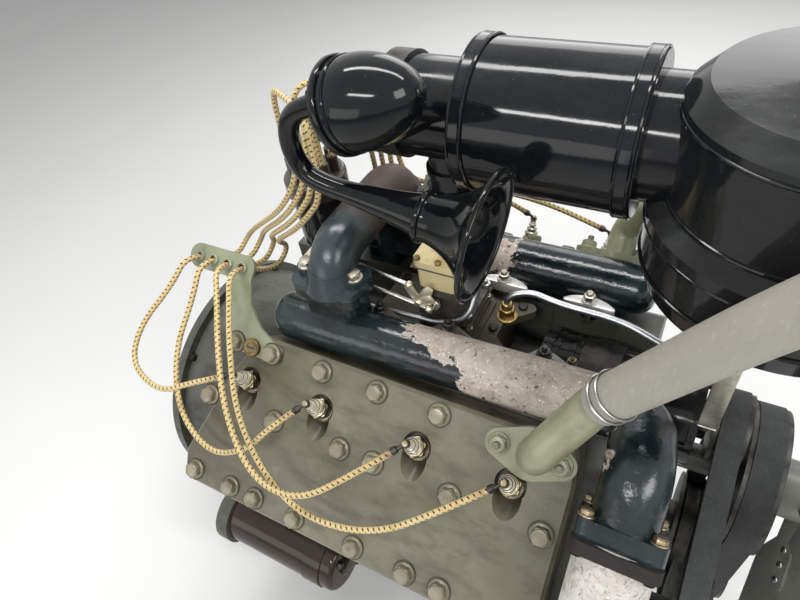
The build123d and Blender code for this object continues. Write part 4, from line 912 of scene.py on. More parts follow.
# %% Carburettor casting
def two_castings():
    made = Finish("carburettor_cream", metallic=0.35)
    joint = 0.3925
    cream = made.blend(made.noise(28, 5), (0.66, 0.55, 0.27), (0.72, 0.64, 0.40))
    fuel_stain = made.band(made.noise(13, 8, 0.7), 0.56, 0.70)
    cream = made.stain(cream, fuel_stain, 0.6, (0.36, 0.25, 0.10))
    lower_half = made.band(made.axis("Z"), joint + 0.0007, joint - 0.0007)
    grey = made.blend(fuel_stain, (0.075, 0.072, 0.062), (0.026, 0.023, 0.019))
    made.colour(made.blend(lower_half, cream, grey))
    made.rough(fuel_stain, 0.36, 0.62)
    made.bump((made.noise(1.4, 4), 0.08), (made.noise(11, 3), 0.12))
    return made


cream_casting = two_castings()
print("carburettor finish with", len(cream_casting.tree.nodes), "nodes")

# %% [markdown]
# ## Rubber, cloth, porcelain, plastic and paper
# A belt is rubber over cord: it is grey where it has worn, and fine ridges run across it.
# The hoses are pale old rubber with faint lines along them from the mould, which slant as
# the hose does.

# %% Belts and hoses
def worn_rubber():
    made = Finish("belt_rubber", roughness=0.7, mirror=0.22)
    wear = made.noise(20, 7, 0.65)
    colour = made.blend(wear, (0.014, 0.015, 0.015), (0.080, 0.083, 0.083))
    lint = made.band(made.noise(1.5, 4, 0.7), 0.60, 0.68)
    made.colour(made.stain(colour, lint, 0.6, (0.19, 0.19, 0.18)))
    made.rough(wear, 0.50, 0.82)
    cord_ridges = made.maths("PINGPONG", made.times(made.axis("X"), 1000.0), 1.0)
    made.bump((cord_ridges, 0.12), (made.noise(2.4, 4), 0.10))
    return made


def pale_rubber():
    made = Finish("hose_rubber", roughness=0.62)
    lines = made.noise(3.2, 4, 0.6, made.stretch(1.0, 1.0, 0.04, (0, -34, 0)))
    colour = made.blend(made.noise(48, 5), (0.275, 0.262, 0.222), (0.350, 0.333, 0.290))
    colour = made.stain(colour, made.band(lines, 0.52, 0.70), 0.4, (0.43, 0.41, 0.36))
    soil = made.band(made.noise(9, 8, 0.7), 0.62, 0.74)
    made.colour(made.stain(colour, soil, 0.5, (0.17, 0.155, 0.11)))
    made.rough(lines, 0.48, 0.72)
    made.bump((lines, 0.12), (made.noise(1.1, 3), 0.05))
    return made


belt_rubber = worn_rubber()
hose_rubber = pale_rubber()
print("belt rubber with", len(belt_rubber.tree.nodes), "nodes, hose rubber with", len(hose_rubber.tree.nodes))

# %% [markdown]
# The downpipe is bound in heat-proof cloth, white once, with rust that has come through.
# Three noises give its folds, lumps and creases. The hollows of each are painted darker, as
# shade. A fourth, the finest, is the nap of the cloth.

# %% Downpipe wrap
def heat_wrap():
    made = Finish("downpipe_wrap", roughness=0.85)
    pipe_turn = (-45, 0, 12)
    folds = made.noise(26, 6, 0.6, made.stretch(1.0, 0.25, 1.0, pipe_turn))
    lumps = made.noise(9, 6, 0.65)
    creases = made.noise(4.2, 8, 0.68, made.stretch(1.0, 0.5, 1.0, pipe_turn), 0.8)
    # The folds are painted darker in their hollows, as shade.
    colour = made.blend(made.band(folds, 0.35, 0.65), (0.78, 0.73, 0.67), (0.94, 0.91, 0.87))
    rust = made.band(made.noise(24, 8, 0.68), 0.50, 0.68)
    colour = made.stain(colour, rust, 0.6, (0.42, 0.29, 0.18))
    # Creases and lumps are painted darker in their hollows, as shade.
    colour = made.blend(made.band(creases, 0.47, 0.36), colour, (0.46, 0.39, 0.32))
    colour = made.blend(made.band(lumps, 0.42, 0.30), colour, (0.44, 0.37, 0.30))
    specks = made.band(made.noise(2.4, 7, 0.75), 0.61, 0.67)
    made.colour(made.blend(specks, colour, (0.20, 0.14, 0.095)))
    made.bump((made.noise(1.6, 6, 0.75), 0.8), (creases, 3.6), (lumps, 4.0), (folds, 4.0))
    return made


wrap_cloth = heat_wrap()
print("downpipe wrap with", len(wrap_cloth.tree.nodes), "nodes")

# %% [markdown]
# Three small materials are left: glazed porcelain with tan stains from the sparks, the dark
# moulded plastic of the distributor cap, and the pressed paper of the gaskets.

# %% Porcelain, plastic and paper
def glazed_porcelain():
    made = Finish("plug_porcelain", roughness=0.16, coat=0.5)
    tan_ring = made.band(made.noise(4, 6), 0.56, 0.72)
    made.colour(made.stain((0.56, 0.51, 0.39), tan_ring, 0.6, (0.30, 0.22, 0.13)))
    made.bump((made.noise(2), 0.02))
    return made


def moulded_plastic():
    made = Finish("cap_plastic", roughness=0.3, coat=0.3)
    moulding = made.noise(12, 6)
    made.colour(made.blend(moulding, (0.018, 0.013, 0.010), (0.045, 0.034, 0.028)))
    made.rough(moulding, 0.22, 0.45)
    made.bump((made.noise(1.5), 0.04))
    return made


def pressed_paper():
    made = Finish("gasket", roughness=0.7)
    made.colour(made.blend(made.noise(6, 6), (0.030, 0.022, 0.016), (0.095, 0.070, 0.046)))
    made.bump((made.noise(0.8), 0.05))
    return made


porcelain = glazed_porcelain()
cap_plastic = moulded_plastic()
gasket_paper = pressed_paper()
print("porcelain, plastic and paper are ready")

# %% [markdown]
# ## Painting the CAD pieces
# Each solid takes the finish of the real part. A CAD mesh is made of loose triangles that
# already point outwards, so nothing is done to it besides setting its material.

# %% Paint
paint_list = {
    block_enamel: "engine_block bell_flange bell_housing front_cover water_pump fan_bracket "
                  "engine_mount_right engine_mount_left",
    head_enamel: "head_right head_left",
    outlet_enamel: "water_outlet_right water_outlet_left",
    olive_fitting: "lead_bracket_right lead_bracket_left",
    manifold_right_finish: "exhaust_manifold_right",
    manifold_left_finish: "exhaust_manifold_left",
    crossover_finish: "crossover_pipe",
    intake_bronze: "intake_manifold",
    throttle_iron: "throttle_body",
    cream_casting: "carburettor",
    silencer_black: "air_silencer",
    cleaner_black: "oil_bath_cleaner",
    burnt_iron: "downpipe_flange flywheel",
    horn_black: "horn_motor horn_trumpet",
    generator_black: "generator distributor",
    pan_black: "oil_pan",
    starter_brown: "starter",
    cap_plastic: "distributor_cap",
    hose_rubber: "radiator_hose_right radiator_hose_left",
    belt_rubber: "belt_front belt_rear",
    fan_steel: "fan",
    dark_steel: "crank_pulley fan_pulley generator_pulley pump_pulley horn_bracket generator_saddle",
    tube_metal: "fuel_line vacuum_line",
    wrap_cloth: "exhaust_downpipe",
    cast_aluminium: "manifold_clamps",
    porcelain: "spark_plugs_right spark_plugs_left",
}
for finish, names in paint_list.items():
    for name in names.split():
        mesh = nodes[name].data
        mesh.materials.clear()
        mesh.materials.append(finish.material)
print(sum(len(names.split()) for names in paint_list.values()), "nodes painted")

# %% [markdown]
# ## Spark plugs
# A plug is three turned parts on one axis: the plated shell with its hexagon, the glazed
# porcelain with its ribs, and the terminal nut. A short dark clip joins it to the lead.
# The plugs lean up the slope in round recesses, with a dull washer under the shell.

# %% Profiles of a plug
shell_profile = [(0, -11), (6.6, -11), (6.6, 0), (12.6, 0), (12.9, 1.4), (12.6, 2.8), (11.2, 3.2), (11.2, 5),
                 (0, 5)]
seal_profile = [(0, -0.8), (13.4, -0.8), (13.8, 0), (13.4, 0.5), (0, 0.5)]
collar_profile = [(0, 15.5), (10.4, 15.5), (11.0, 16.5), (11.0, 18.6), (10.2, 19.6), (9.4, 19.8), (9.0, 21.2),
                  (7.8, 21.8), (0, 21.8)]
porcelain_profile = [(0, 21.5), (8.4, 21.5), (8.4, 22.6)]
rib_pitch = 5.7
ribs = [(22.6 + rib_pitch * k, 9.3 - 2.0 * k) for k in range(3)]
for foot, crest in ribs:
    porcelain_profile += [(crest - 2.3, foot), (crest - 2.3, foot + 1.7), (crest - 0.3, foot + 2.1),
                          (crest, foot + 2.6), (crest, foot + 4.4), (crest - 0.5, foot + 5.0)]
porcelain_profile += [(4.2, 40.2), (3.9, 42.6), (0, 42.6)]
terminal_profile = [(0, 42.4), (3.6, 42.4), (3.8, 43.0), (3.8, 44.4), (2.6, 45.0), (2.6, 47.6), (3.6, 48.2),
                    (3.6, 50.2), (2.9, 50.9), (0, 51)]
clip_profile = [(0, -1.6), (3.5, -1.6), (4.3, -0.9), (4.3, 4.4), (3.7, 5.2), (2.5, 6.4), (1.9, 9.0),
                (1.7, 14.0), (1.6, 16.5), (0, 16.5)]
eye_profile = [(2.4, -1.0), (4.6, -1.0), (5.0, 0), (4.6, 1.0), (2.4, 1.0), (2.4, -1.0)]
print("a plug with", len(ribs), "ribs, its terminal", terminal_profile[-1][1], "mm above the seat")

# %% Spark plugs and clips
for side, mirrored in banks.items():
    plugs = Fitting(f"spark_plug_set_{side}")
    seats = [mirrored @ facing(seat, plug_axis) for seat in plug_seats]
    plugs.put(turned(shell_profile), plug_shell, *seats)
    plugs.put(turned(seal_profile), dull_brass, *seats)
    plugs.put(prism(12.6, 10.6, 6, 0.7), plug_plate, *[seat @ at(0, 0, 5) for seat in seats])
    plugs.put(washer(10.9, 14.8, 15.7), grime_and_painted_shade, *seats)
    plugs.put(turned(collar_profile), plug_plate, *seats)
    plugs.put(turned(porcelain_profile, 40), porcelain, *seats)
    # Dark rings at the foot of each rib and on its top are painted shade in the grooves between the ribs.
    for foot, crest in ribs:
        plugs.put(washer(crest - 2.1, foot - 0.1, foot + 1.75), grime_and_painted_shade, *seats)
        rim = [(0, foot + 4.9), (crest - 0.55, foot + 4.9), (crest - 0.7, foot + 5.2), (0, foot + 5.2)]
        plugs.put(turned(rim, 32), grime_and_painted_shade, *seats)
    plugs.put(turned(terminal_profile, 20), plug_plate, *seats)
    clip = turned(clip_profile, 16)
    eye = turned(eye_profile, 20)
    for k in range(4):
        end = lead_routes[f"plug_lead_{side}_{k + 1}"][-1]
        tip = lead_ties[f"plug_lead_{side}_{k + 1}"][1]
        plugs.put(clip, dark_steel, facing(end, tip - end, Vector((0.2, 0.3, 0.9))), again=True)
        plugs.put(eye, dark_steel, seats[k] @ at(0, 0, 46.4), again=True)
    plugs.finish("plug_porcelain", replaces=[f"spark_plugs_{side}"])

# %% [markdown]
# ## Head bolts
# Each head is held down by nineteen hexagon bolts with a round washer forged into the
# head, all painted with the engine and rubbed bare on top by spanners. One bolt is made
# and stamped along three rows, which are named by their distance up the bank. Those under
# a lead bracket stand higher, on its foot. A brass plug with a slot closes a water hole
# between two of them, and stud nuts hold the water outlet.

# %% Hexagon bolt
bolt_radius = 10.6
bolt_height = 9.6
washer_profile = [(0, 0), (12.4, 0), (12.7, 0.5), (12.4, 1.5), (10.6, 2.4), (0, 2.4)]
dome_profile = [(0, 9.6), (8.9, 9.6), (8.2, 10.5), (5.0, 10.9), (0, 11.0)]


def hexagon_bolt(fitting, finish, *places, radius=bolt_radius, height=bolt_height):
    """A flanged hexagon bolt head with a washer face and a slightly domed top."""
    share = radius / bolt_radius
    sized = [place @ Matrix.Diagonal((share, share, share, 1)) for place in places]
    fitting.put(turned(washer_profile, 28), finish, *sized)
    fitting.put(prism(bolt_radius, height, 6, 0.8), finish, *sized)
    fitting.put(turned(dome_profile, 20), finish, *sized)


def bolt_circle(fitting, axis, reach, height, angles, radius):
    """Dark bolts on a circle round an axis, their seats at one height along it."""
    for angle in angles:
        hexagon_bolt(fitting, dark_steel, spun(axis, angle) @ at(reach, 0, height), radius=radius)


print("a bolt head is", bolt_radius * 2, "mm over its corners")

# %% Head bolts
top_row = 122
bolt_rows = {top_row: (213, 269, 342, 417, 495), 43: (188, 292, 388, 433, 528, 629),
             -59: (190, 250, 289, 351, 434, 501, 543, 634)}
raised = {"right": (213, 269), "left": (342, 417)}
boss_height = 4
worn_profile = [(0, 9.8), (8.6, 9.8), (8.0, 10.62), (5.0, 11.06), (0, 11.16)]
slot_plug_profile = [(0, 0), (11, 0), (11.5, 1), (11.5, 5), (10.6, 6.2), (6.2, 6.4), (5.6, 5.6), (0, 5.6)]
for side, mirrored in banks.items():
    bolts = Fitting(f"head_bolts_{side}")
    places = []
    for up, row in bolt_rows.items():
        for x in row:
            lift = boss_height if up == top_row and x in raised[side] else 0
            seat = facing(bank(x, up, head_top + lift), outward)
            places.append(mirrored @ spun(seat, (x * 7 + up * 3) % 60))
    hexagon_bolt(bolts, bolt_enamel, *places)
    bolts.put(turned(worn_profile, 20), bolt_worn, *places)
    # A thin dark ring round the foot of each bolt.
    bolts.put(washer(14.4, -0.2, 0.22), grime_and_painted_shade, *places)
    lift = boss_height if side == "right" else 0
    slot_plug = mirrored @ facing(bank(240, top_row, head_top + lift), outward)
    bolts.put(turned(slot_plug_profile), dull_brass, slot_plug)
    # The slot is a flush dark block, painted shade for its depth.
    bolts.put(block((11.4, 2.8, 1.0), 0.3), grime_and_painted_shade, slot_plug @ at(0, 0, 5.5))
    for x in (567, 631):
        nut = mirrored @ facing(bank(x, 119, head_top + 10), outward)
        hexagon_bolt(bolts, outlet_enamel, spun(nut, x % 50), radius=9.8, height=9)
        bolts.put(stud_end(4, 9, 16, dome=0.2), bolt_enamel, nut)
    bolts.finish("head_enamel")

# %% [markdown]
# ## Manifold studs, riser bolts and the bridge clamps
# The manifolds are pulled down by studs through their lugs, and the crossover pipe by two
# long bolts through each riser flange, of which the right ones are wiped to bare metal. On
# the left side two cast aluminium bridges press on pairs of lugs. On the inner side of the
# right manifold three cast ears, each with a long sloping tail, carry a stud and its nut.

# %% Manifold bolts
manifold_bolts = Fitting("manifold_bolts")
lug_z = shoulder + 26
lug_y = 74.2
for x in (380, 489, 596):
    stud = spun(facing(mm(x, -lug_y, lug_z), upward), x % 45)
    hexagon_bolt(manifold_bolts, dark_steel, stud, radius=8.4, height=9)
    manifold_bolts.put(stud_end(3.8, 8, 16), dark_steel, stud)
hexagon_bolt(manifold_bolts, dark_steel, spun(facing(mm(380, lug_y, lug_z), upward), 12), radius=8.4)
ear_outline = [(-22, -12), (44, -12), (9, 6.5), (-8, 6.5)]
ear_thickness = 6
for x, z in ((376, 354), (467, 359), (579, 361)):
    ear = facing(mm(x, -60, z - ear_thickness), Vector((0, 0.10, 1)))
    manifold_bolts.put(cut_plate(ear_outline, ear_thickness, 2), intake_bronze, ear)
    nut = spun(ear @ at(0, -0.5, ear_thickness), x % 45)
    hexagon_bolt(manifold_bolts, dark_steel, nut, radius=7.2, height=7)
    manifold_bolts.put(stud_end(3.4, 6, 12, 0.6), dark_steel, nut)
riser_x, riser_y = 334, 82
riser_top = shoulder + 125.6
for side, metal in ((-1, nickel_nut), (1, dark_steel)):
    for way in (-1, 1):
        seat = facing(mm(riser_x + way * 32.5, side * riser_y, riser_top), upward)
        hexagon_bolt(manifold_bolts, metal, spun(seat, 20 * way), radius=8.4, height=9)
flange_place = facing(mm(698, -206, 321), down_the_bank)
for x, y in ((-31, 21), (30, 21), (-32, -20), (29, -24)):
    top = flange_place @ at(x, y, -18) @ upside_down
    hexagon_bolt(manifold_bolts, worn_bolt, spun(top, 17 * x), radius=6.6, height=9)
    under = flange_place @ at(x, y, 12)
    hexagon_bolt(manifold_bolts, dark_steel, spun(under, 11 * x), radius=6.6, height=8)
manifold_bolts.finish("dark_steel")

# %% [markdown]
# A bridge clamp is an oval bar that is thickest under its nut. It starts as a short round
# prism, which is pressed flat in Y, and the upper ring is lowered towards both ends.

# %% Bridge clamps
clamps = Fitting("bridge_clamps")
half_bar = 31
for x in (489, 596):
    bar = prism(half_bar, 12.5, 40, 0)
    for vertex in bar.verts:
        share = abs(vertex.co.x) * 1000 / half_bar
        vertex.co.y *= 0.33
        if vertex.co.z > 0.005:
            vertex.co.z -= 0.0062 * share ** 2
            vertex.co.y *= 0.70
    break_edges(bar, 0.8)
    base = at(x, 57, lug_z)
    clamps.put(bar, cast_aluminium, base)
    clamps.put(turned([(0, 6), (9.4, 6), (8.6, 14), (7.9, 15), (0, 15)]), cast_aluminium, base)
    clamps.put(prism(7.4, 7.5, 6, 0.6), nickel_nut, spun(base @ at(0, 0, 15), x % 40))
    clamps.put(stud_end(4.1, -25, 26.6, 0.7, 0.2), nickel_nut, base)
clamps.finish("raw_aluminium", replaces=["manifold_clamps"])

# %% [markdown]
# ## Lead bracket grommets
# Three of the four holes in the right bracket have a turned ferrule that keeps the braid
# off the edge of the plate. The left bracket's tab has small rubber grommets.

# %% Grommets
grommets = Fitting("lead_grommets")
ferrule_ring = turned([(3.7, -3.5), (7.4, -3.5), (7.8, -2.6), (7.8, 6.2), (7.2, 7.4), (5.4, 8.0), (4.2, 7.4),
                       (3.7, 6.4), (3.7, -3.5)], 36)
lining = turned([(3.4, -3.0), (5.5, -3.0), (5.5, 7.9), (4.9, 8.6), (3.9, 8.2), (3.4, 7.2), (3.4, -3.0)], 32)
for k in range(1, 4):
    grommets.put(ferrule_ring, olive_fitting, facing(ferrule(k), outward), again=True)
    grommets.put(lining, dull_brass, facing(ferrule(k), outward), again=True)
# The first hole has a dark ring round the lead instead, painted shade inside the hole.
shaded_hole_ring = turned([(4.0, -3.2), (6.6, -3.2), (6.9, 3.4), (6.4, 3.9), (4.6, 3.9), (4.0, 3.2),
                     (4.0, -3.2)], 32)
grommets.put(shaded_hole_ring, grime_and_painted_shade, facing(ferrule(0), outward))
small_ring = turned([(3.6, -1.2), (5.2, -1.6), (5.6, 0), (5.6, 3.5), (5.2, 5.1), (3.6, 4.7), (3.6, -1.2)], 24)
for k in range(4):
    grommets.put(small_ring, cap_plastic, facing(tab_hole(k), forward, leftward), again=True)
grommets.finish("fitting_enamel")

# %% [markdown]
# ## Hose clamps
# The lower end of each radiator hose is held by a double-wire clamp: two thin rings with a
# screw through a small block where they meet.

# %% Hose clamps
hose_way = Vector((sin(radians(33.5)), 0, cos(radians(33.5))))
hose_foot = bank(607, 125, head_top + 46) + mm(43, 31, 70)
hose_clamps = Fitting("hose_clamps")
wire = turned(wire_ring(21.45, 0, 1.25, 1.25, 10), 48)
screw_profile = [(0, -11), (2.4, -11), (2.4, 9), (4.6, 9), (4.8, 11.4), (3.8, 13), (0, 13)]
for mirrored in banks.values():
    collar = mirrored @ facing(hose_foot + hose_way * 0.024, hose_way, rightward)
    for lift in (-5, 5):
        hose_clamps.put(wire, bright_steel, collar @ at(0, 0, lift), again=True)
    screw = spun(collar, 150) @ at(24.5, 0, 0)
    hose_clamps.put(block((7, 9, 15), 1.2), nickel_nut, screw)
    hose_clamps.put(turned(screw_profile, 18), bright_steel, screw @ Matrix.Rotation(pi / 2, 4, "X"))
hose_clamps.finish("bright_steel")

# %% [markdown]
# ## Carburettor fittings and throttle rods
# The carburettor stands on a dark throttle casting between gaskets. Its cover is held by
# cheese-head screws, its flanges by studs, and a plated lever on the throttle shaft is
# worked by two thin rods that run back to a bell-crank behind the crossover pipe.

# %% Carburettor fittings
trim = Fitting("carburettor_fittings")
screw_head = turned([(0, 0), (3.6, 0), (3.8, 0.5), (3.8, 2.6), (3.2, 3.4), (0, 3.5)], 18)
for x in (424, 450, 472):
    for y in (-38, 38):
        trim.put(screw_head, dull_brass, at(x, y, 432.4), again=True)
stud_top = stud_end(3.2, 0, 10, 0.6, steps=14)
for x in (416, 476):
    for y in (-29, 29):
        for z in (325.4, 346.4):
            trim.put(prism(6.2, 5.2, 6, 0.5), bright_steel, spun(at(x, y, z), x + z))
            trim.put(stud_top, bright_steel, at(x, y, z), again=True)
gasket = cut_plate(oblong(36, 36), 1.4, 0)
for z in (315.8, 325.0, 338.2):
    trim.put(gasket, gasket_paper, at(446, 0, z - 0.7), again=True)
trim.put(cut_plate(oblong(31, 44), 1.2, 0), gasket_paper, at(448, 0, 422.6))
front = facing(mm(470.6, 0, 400), forward, leftward)
trim.put(cut_plate(oblong(19, 16), 3, 0.8), cream_casting, front)
for y, z in oblong(16, 12):
    trim.put(screw_head, brass, front @ at(y, z, 3), again=True)
trim.put(rod(mm(438, -52, 364), mm(438, 42, 364), 4.2), bright_steel)
trim.put(turned([(0, 0), (7.4, 0), (8, 0.8), (8, 4), (7.2, 5), (0, 5)], 24), zinc,
         facing(mm(438, -35, 364), rightward))
trim.finish("bright_steel")

# %% Throttle levers and rods
linkage = Fitting("throttle_linkage")
post_x, post_y = 276, -22
arm_outline = [(-6, -6), (0, -8), (6, -6), (6, 24), (4, 30), (-4, 30), (-6, 24)]
pivot = facing(mm(424, -44, 372), rightward, forward)
for angle, length_share in ((28, 1.0), (-32, 1.1), (-58, 0.8)):
    arm = cut_plate([(x, y * length_share) for x, y in arm_outline], 2.4, 0.5)
    linkage.put(arm, zinc, spun(pivot, angle) @ at(0, 0, 1.4 * abs(angle) / 28))
linkage.put(stud_end(4.8, -10, 8, 1.2, steps=20), zinc, pivot)
linkage.put(rod(mm(424, -30, 372), mm(424, -52, 372), 3.6), zinc)
linkage.put(rod(mm(post_x, post_y, 232), mm(post_x, post_y, 402), 5.0), dark_steel)
post_foot = turned([(0, 0), (13, 0), (13, 4), (8, 7), (6, 14), (0, 14)], 24)
linkage.put(post_foot, dark_steel, at(post_x, post_y, 232))
rods = ((mm(280, -30, 399), mm(414, -47, 397)), (mm(276, -46, 391), mm(438, -50, 368)))
for start, end in rods:
    linkage.put(rod(start, end, 2.4), bright_steel)
    for place in (start, end):
        ball = bmesh.new()
        bmesh.ops.create_uvsphere(ball, u_segments=16, v_segments=10, radius=0.0046)
        linkage.put(ball, zinc, Matrix.Translation(place))
bell_crank = spun(facing(mm(post_x, post_y, 399), upward), 180)
linkage.put(cut_plate([(-7, -7), (7, -7), (7, 30), (-7, 30)], 3, 0.6), zinc, bell_crank)
linkage.finish("bright_steel")

# %% [markdown]
# ## Pipe fittings
# The fuel line ends in a flare nut in the float bowl. The vacuum line rises from a brass
# elbow that is screwed into the intake plate.

# %% Pipe fittings
unions = Fitting("pipe_unions")
bowl_inlet = mm(482, -24, 408.4)
unions.put(prism(7.2, 11, 6, 0.6), brass, facing(bowl_inlet, -forward, leftward))
unions.put(turned([(0, 0), (5, 0), (4.2, 5), (3.4, 6), (0, 6)], 18), brass,
           facing(bowl_inlet, forward, leftward))
plate_z = 310.4
base = at(506, 22, plate_z)
unions.put(turned([(0, 0), (13, 0), (13, 1.6), (10, 2.4), (0, 2.4)], 28), brass, base)
unions.put(prism(10.4, 15, 6, 0.8), brass, spun(base, 14))
unions.put(turned([(0, 15), (7, 15), (7, 21), (6, 23), (4.4, 23.6), (0, 23.6)], 20), brass, base)
for x, y in ((356, -40), (356, 40), (400, -43), (400, 43), (520, -42), (520, 42), (498, -4)):
    unions.put(screw_head, dark_steel, at(x, y, plate_z) @ Matrix.Scale(1.5, 4), again=True)
unions.finish("bright_steel")

# %% [markdown]
# ## Horn and air silencer trim
# The bell's rim is rolled over a wire, its throat has a stepped ring, and the motor's dome
# carries a small nut. The silencer hangs on a clip round its neck with a screw lug. The
# horn's pipe is drawn as a curve first. A circle stands on each of its points, square to
# the way onward, and each pair of neighbours is bridged. So the pipe can widen as it goes.

# %% Horn pipe
droop_way = Vector((cos(radians(7)), 0, -sin(radians(7))))
cone_place = facing(mm(415, -125, 581.4), droop_way, rightward)
horn_route = [mm(429.4, -125, 666.2), mm(404, -125, 658.9), mm(381, -125, 648), mm(370.5, -125, 625),
              mm(374, -125, 598), mm(390, -125, 584.5), mm(415, -125, 581.4)]
horn_line = [vertex.co.copy() for vertex in mesh_of(spline_object("horn_line", horn_route)).vertices]
last = len(horn_line) - 1
horn_pipe = bmesh.new()
rings = []
for k, place in enumerate(horn_line):
    ahead = horn_line[min(k + 1, last)] - horn_line[max(k - 1, 0)]
    radius = (8.6 + 0.5 * k / last) / 1000
    ring = bmesh.ops.create_circle(horn_pipe, cap_ends=False, segments=40, radius=radius,
                                   matrix=facing(place, ahead, leftward))["verts"]
    rings.append(list(dict.fromkeys(edge for vert in ring for edge in vert.link_edges)))
for ring_a, ring_b in zip(rings, rings[1:]):
    bmesh.ops.bridge_loops(horn_pipe, edges=ring_a + ring_b)
bmesh.ops.recalc_face_normals(horn_pipe, faces=horn_pipe.faces)
print("horn pipe with", len(horn_pipe.faces), "faces")

# %% [markdown]
# The bell flares along an arc. Its profile runs up the outside, over the rim and back down
# the inside, so that the wall has a thickness where one looks into the mouth. Three points
# are enough for each arc.

# %% Horn trumpet
def arc_through(a, b, c, steps):
    """Points of the circle through three (radius, height) pairs, from a to c."""
    (ax, ay), (bx, by), (cx, cy) = a, b, c
    twice = 2 * (ax * (by - cy) + bx * (cy - ay) + cx * (ay - by))
    sums = [x * x + y * y for x, y in (a, b, c)]
    ux = (sums[0] * (by - cy) + sums[1] * (cy - ay) + sums[2] * (ay - by)) / twice
    uy = (sums[0] * (cx - bx) + sums[1] * (ax - cx) + sums[2] * (bx - ax)) / twice
    centre = Vector((ux, uy))
    first = Vector(a) - centre
    whole = first.angle_signed(Vector(c) - centre)
    return [tuple(centre + Matrix.Rotation(-whole * k / steps, 2) @ first) for k in range(steps + 1)]


throat = [(0, -0.5), (9.1, -0.5), (9.1, 0), (10.2, 14), (11.6, 28), (13.4, 44), (15.8, 60), (18.6, 74.6)]
step_ring = [(21.4, 74.9), (22.3, 75.8), (22.5, 77.5), (22.3, 79.2), (21.4, 80.1), (20.2, 80.5)]
outer_bell = arc_through((20, 81), (30.5, 110), (54.6, 130.4), 20) + [(54.8, 132)]
inner_bell = arc_through((53, 131.4), (28, 112), (17.5, 81), 20) + [(14.5, 60), (0, 60)]
horn_shell = Fitting("horn_trumpet_shell")
horn_shell.put(horn_pipe, horn_black)
horn_shell.put(turned(throat + step_ring + outer_bell + inner_bell, 80), horn_black, cone_place)
horn_shell.finish("black_enamel", replaces=["horn_trumpet"], crease=40)

# %% Horn trim
horn_trim = Fitting("horn_trim")
horn_trim.put(turned(wire_ring(54.2, 131, 2.2, 2.2, 12), 72), horn_black, cone_place)
baffle = turned([(0, 84), (12, 84), (14, 86), (15, 92), (13.4, 92), (12, 88), (0, 88)], 36)
horn_trim.put(baffle, horn_black, cone_place)
horn_trim.put(prism(7, 12, 6, 0.6), dark_steel, cone_place @ at(0, 0, 86))
motor_place = at(431, -125, 660.4) @ Matrix.Rotation(radians(-16), 4, "Y")
motor_axis = motor_place @ lengthwise
flange_ring = [(33.5, 2), (36.6, 2), (37.2, 3), (37.2, 7), (36.6, 8), (33.5, 8), (33.5, 2)]
rolled_ring = [(33, 13), (35.6, 13), (36.2, 14), (35.6, 15), (33, 15), (33, 13)]
for ring in (flange_ring, rolled_ring):
    horn_trim.put(turned(ring, 64), horn_black, motor_axis)
horn_trim.put(prism(5.0, 4.5, 6, 0.5), horn_black, motor_axis @ at(0, 0, 70))
for angle in (45, 135, 225, 315):
    horn_trim.put(screw_head, dark_steel, spun(motor_axis, angle) @ at(30, 0, 0) @ upside_down, again=True)
horn_trim.finish("black_enamel")

# %% Silencer and cleaner trim
silencer_trim = Fitting("silencer_trim")
neck = at(458, 0, 0)
clip_ring = [(25.0, 500), (26.6, 500), (27.2, 500.8), (27.2, 508.6), (26.6, 509.4), (25.0, 509.4),
             (25.0, 500)]
silencer_trim.put(turned(clip_ring, 56), dark_steel, neck)
for shift in (-3.2, 3.2):
    silencer_trim.put(block((12, 2, 9.4), 0.5), dark_steel, spun(neck, -75) @ at(31, shift, 504.7))
clip_screw = rod(mm(0, -7, 0), mm(0, 7, 0), 2.6)
silencer_trim.put(clip_screw, bright_steel, spun(neck, -75) @ at(32, 0, 504.7))
for x in (487.5, 498.5, 624.5, 635.5):
    bead = turned(wire_ring(67.4, 0, 1.4, 1.6), 88)
    silencer_trim.put(bead, silencer_black, at(0, 0, 596.4) @ lengthwise @ at(0, 0, x))
cleaner_axis = at(758, -10, 0)
for radius, z in ((112.4, 511), (113.4, 548), (102.2, 573), (102.2, 640)):
    silencer_trim.put(turned(wire_ring(radius, z, 1.5, 1.6), 96), silencer_black, cleaner_axis)
wing_nut = turned([(0, 667), (9, 667), (9, 673), (5, 675), (5, 680), (0, 680)], 24)
silencer_trim.put(wing_nut, bright_steel, cleaner_axis)
silencer_trim.finish("black_enamel")

# %% [markdown]
# ## Generator, starter and pump fittings
# These are bought-in units: a steel tube between two end plates that long bolts pull
# together, with brass terminals and a strap. The bolts sit on the end plates' faces. A bent
# steel stay carries the oil-bath cleaner from the front of the manifold.

# %% Generator and starter fittings
units = Fitting("unit_fittings")
generator_axis = at(0, 0, 254) @ lengthwise
for start in (574, 592, 706):
    hoop = [(52.6, start), (54.6, start + 0.6), (54.6, start + 6.4), (52.6, start + 7), (52.6, start)]
    units.put(turned(hoop, 64), generator_black, generator_axis)
strap = [(56.1, 618), (57.6, 618), (57.6, 638), (56.1, 638), (56.1, 618)]
units.put(turned(strap, 64), dark_steel, generator_axis)
bolt_circle(units, generator_axis, 40, 742, (40, 140, 220, 320), 5)
for x in (600, 660):
    stud = at(x, -18, 304)
    units.put(turned([(0, 0), (7, 0), (7, 4), (3, 5), (3, 12), (0, 12)], 18), cap_plastic, stud)
    units.put(prism(5, 4, 6, 0.4), brass, stud @ at(0, 0, 6))
starter_axis = at(0, -237, -46) @ lengthwise
bolt_circle(units, starter_axis, 30, 346, (30, 210), 6)
units.put(turned([(0, 346), (18, 346), (18, 350), (15, 353), (0, 354)], 32), starter_brown, starter_axis)
terminal = [(0, 258), (6, 258), (6, 263), (3.2, 264), (3.2, 272), (0, 272)]
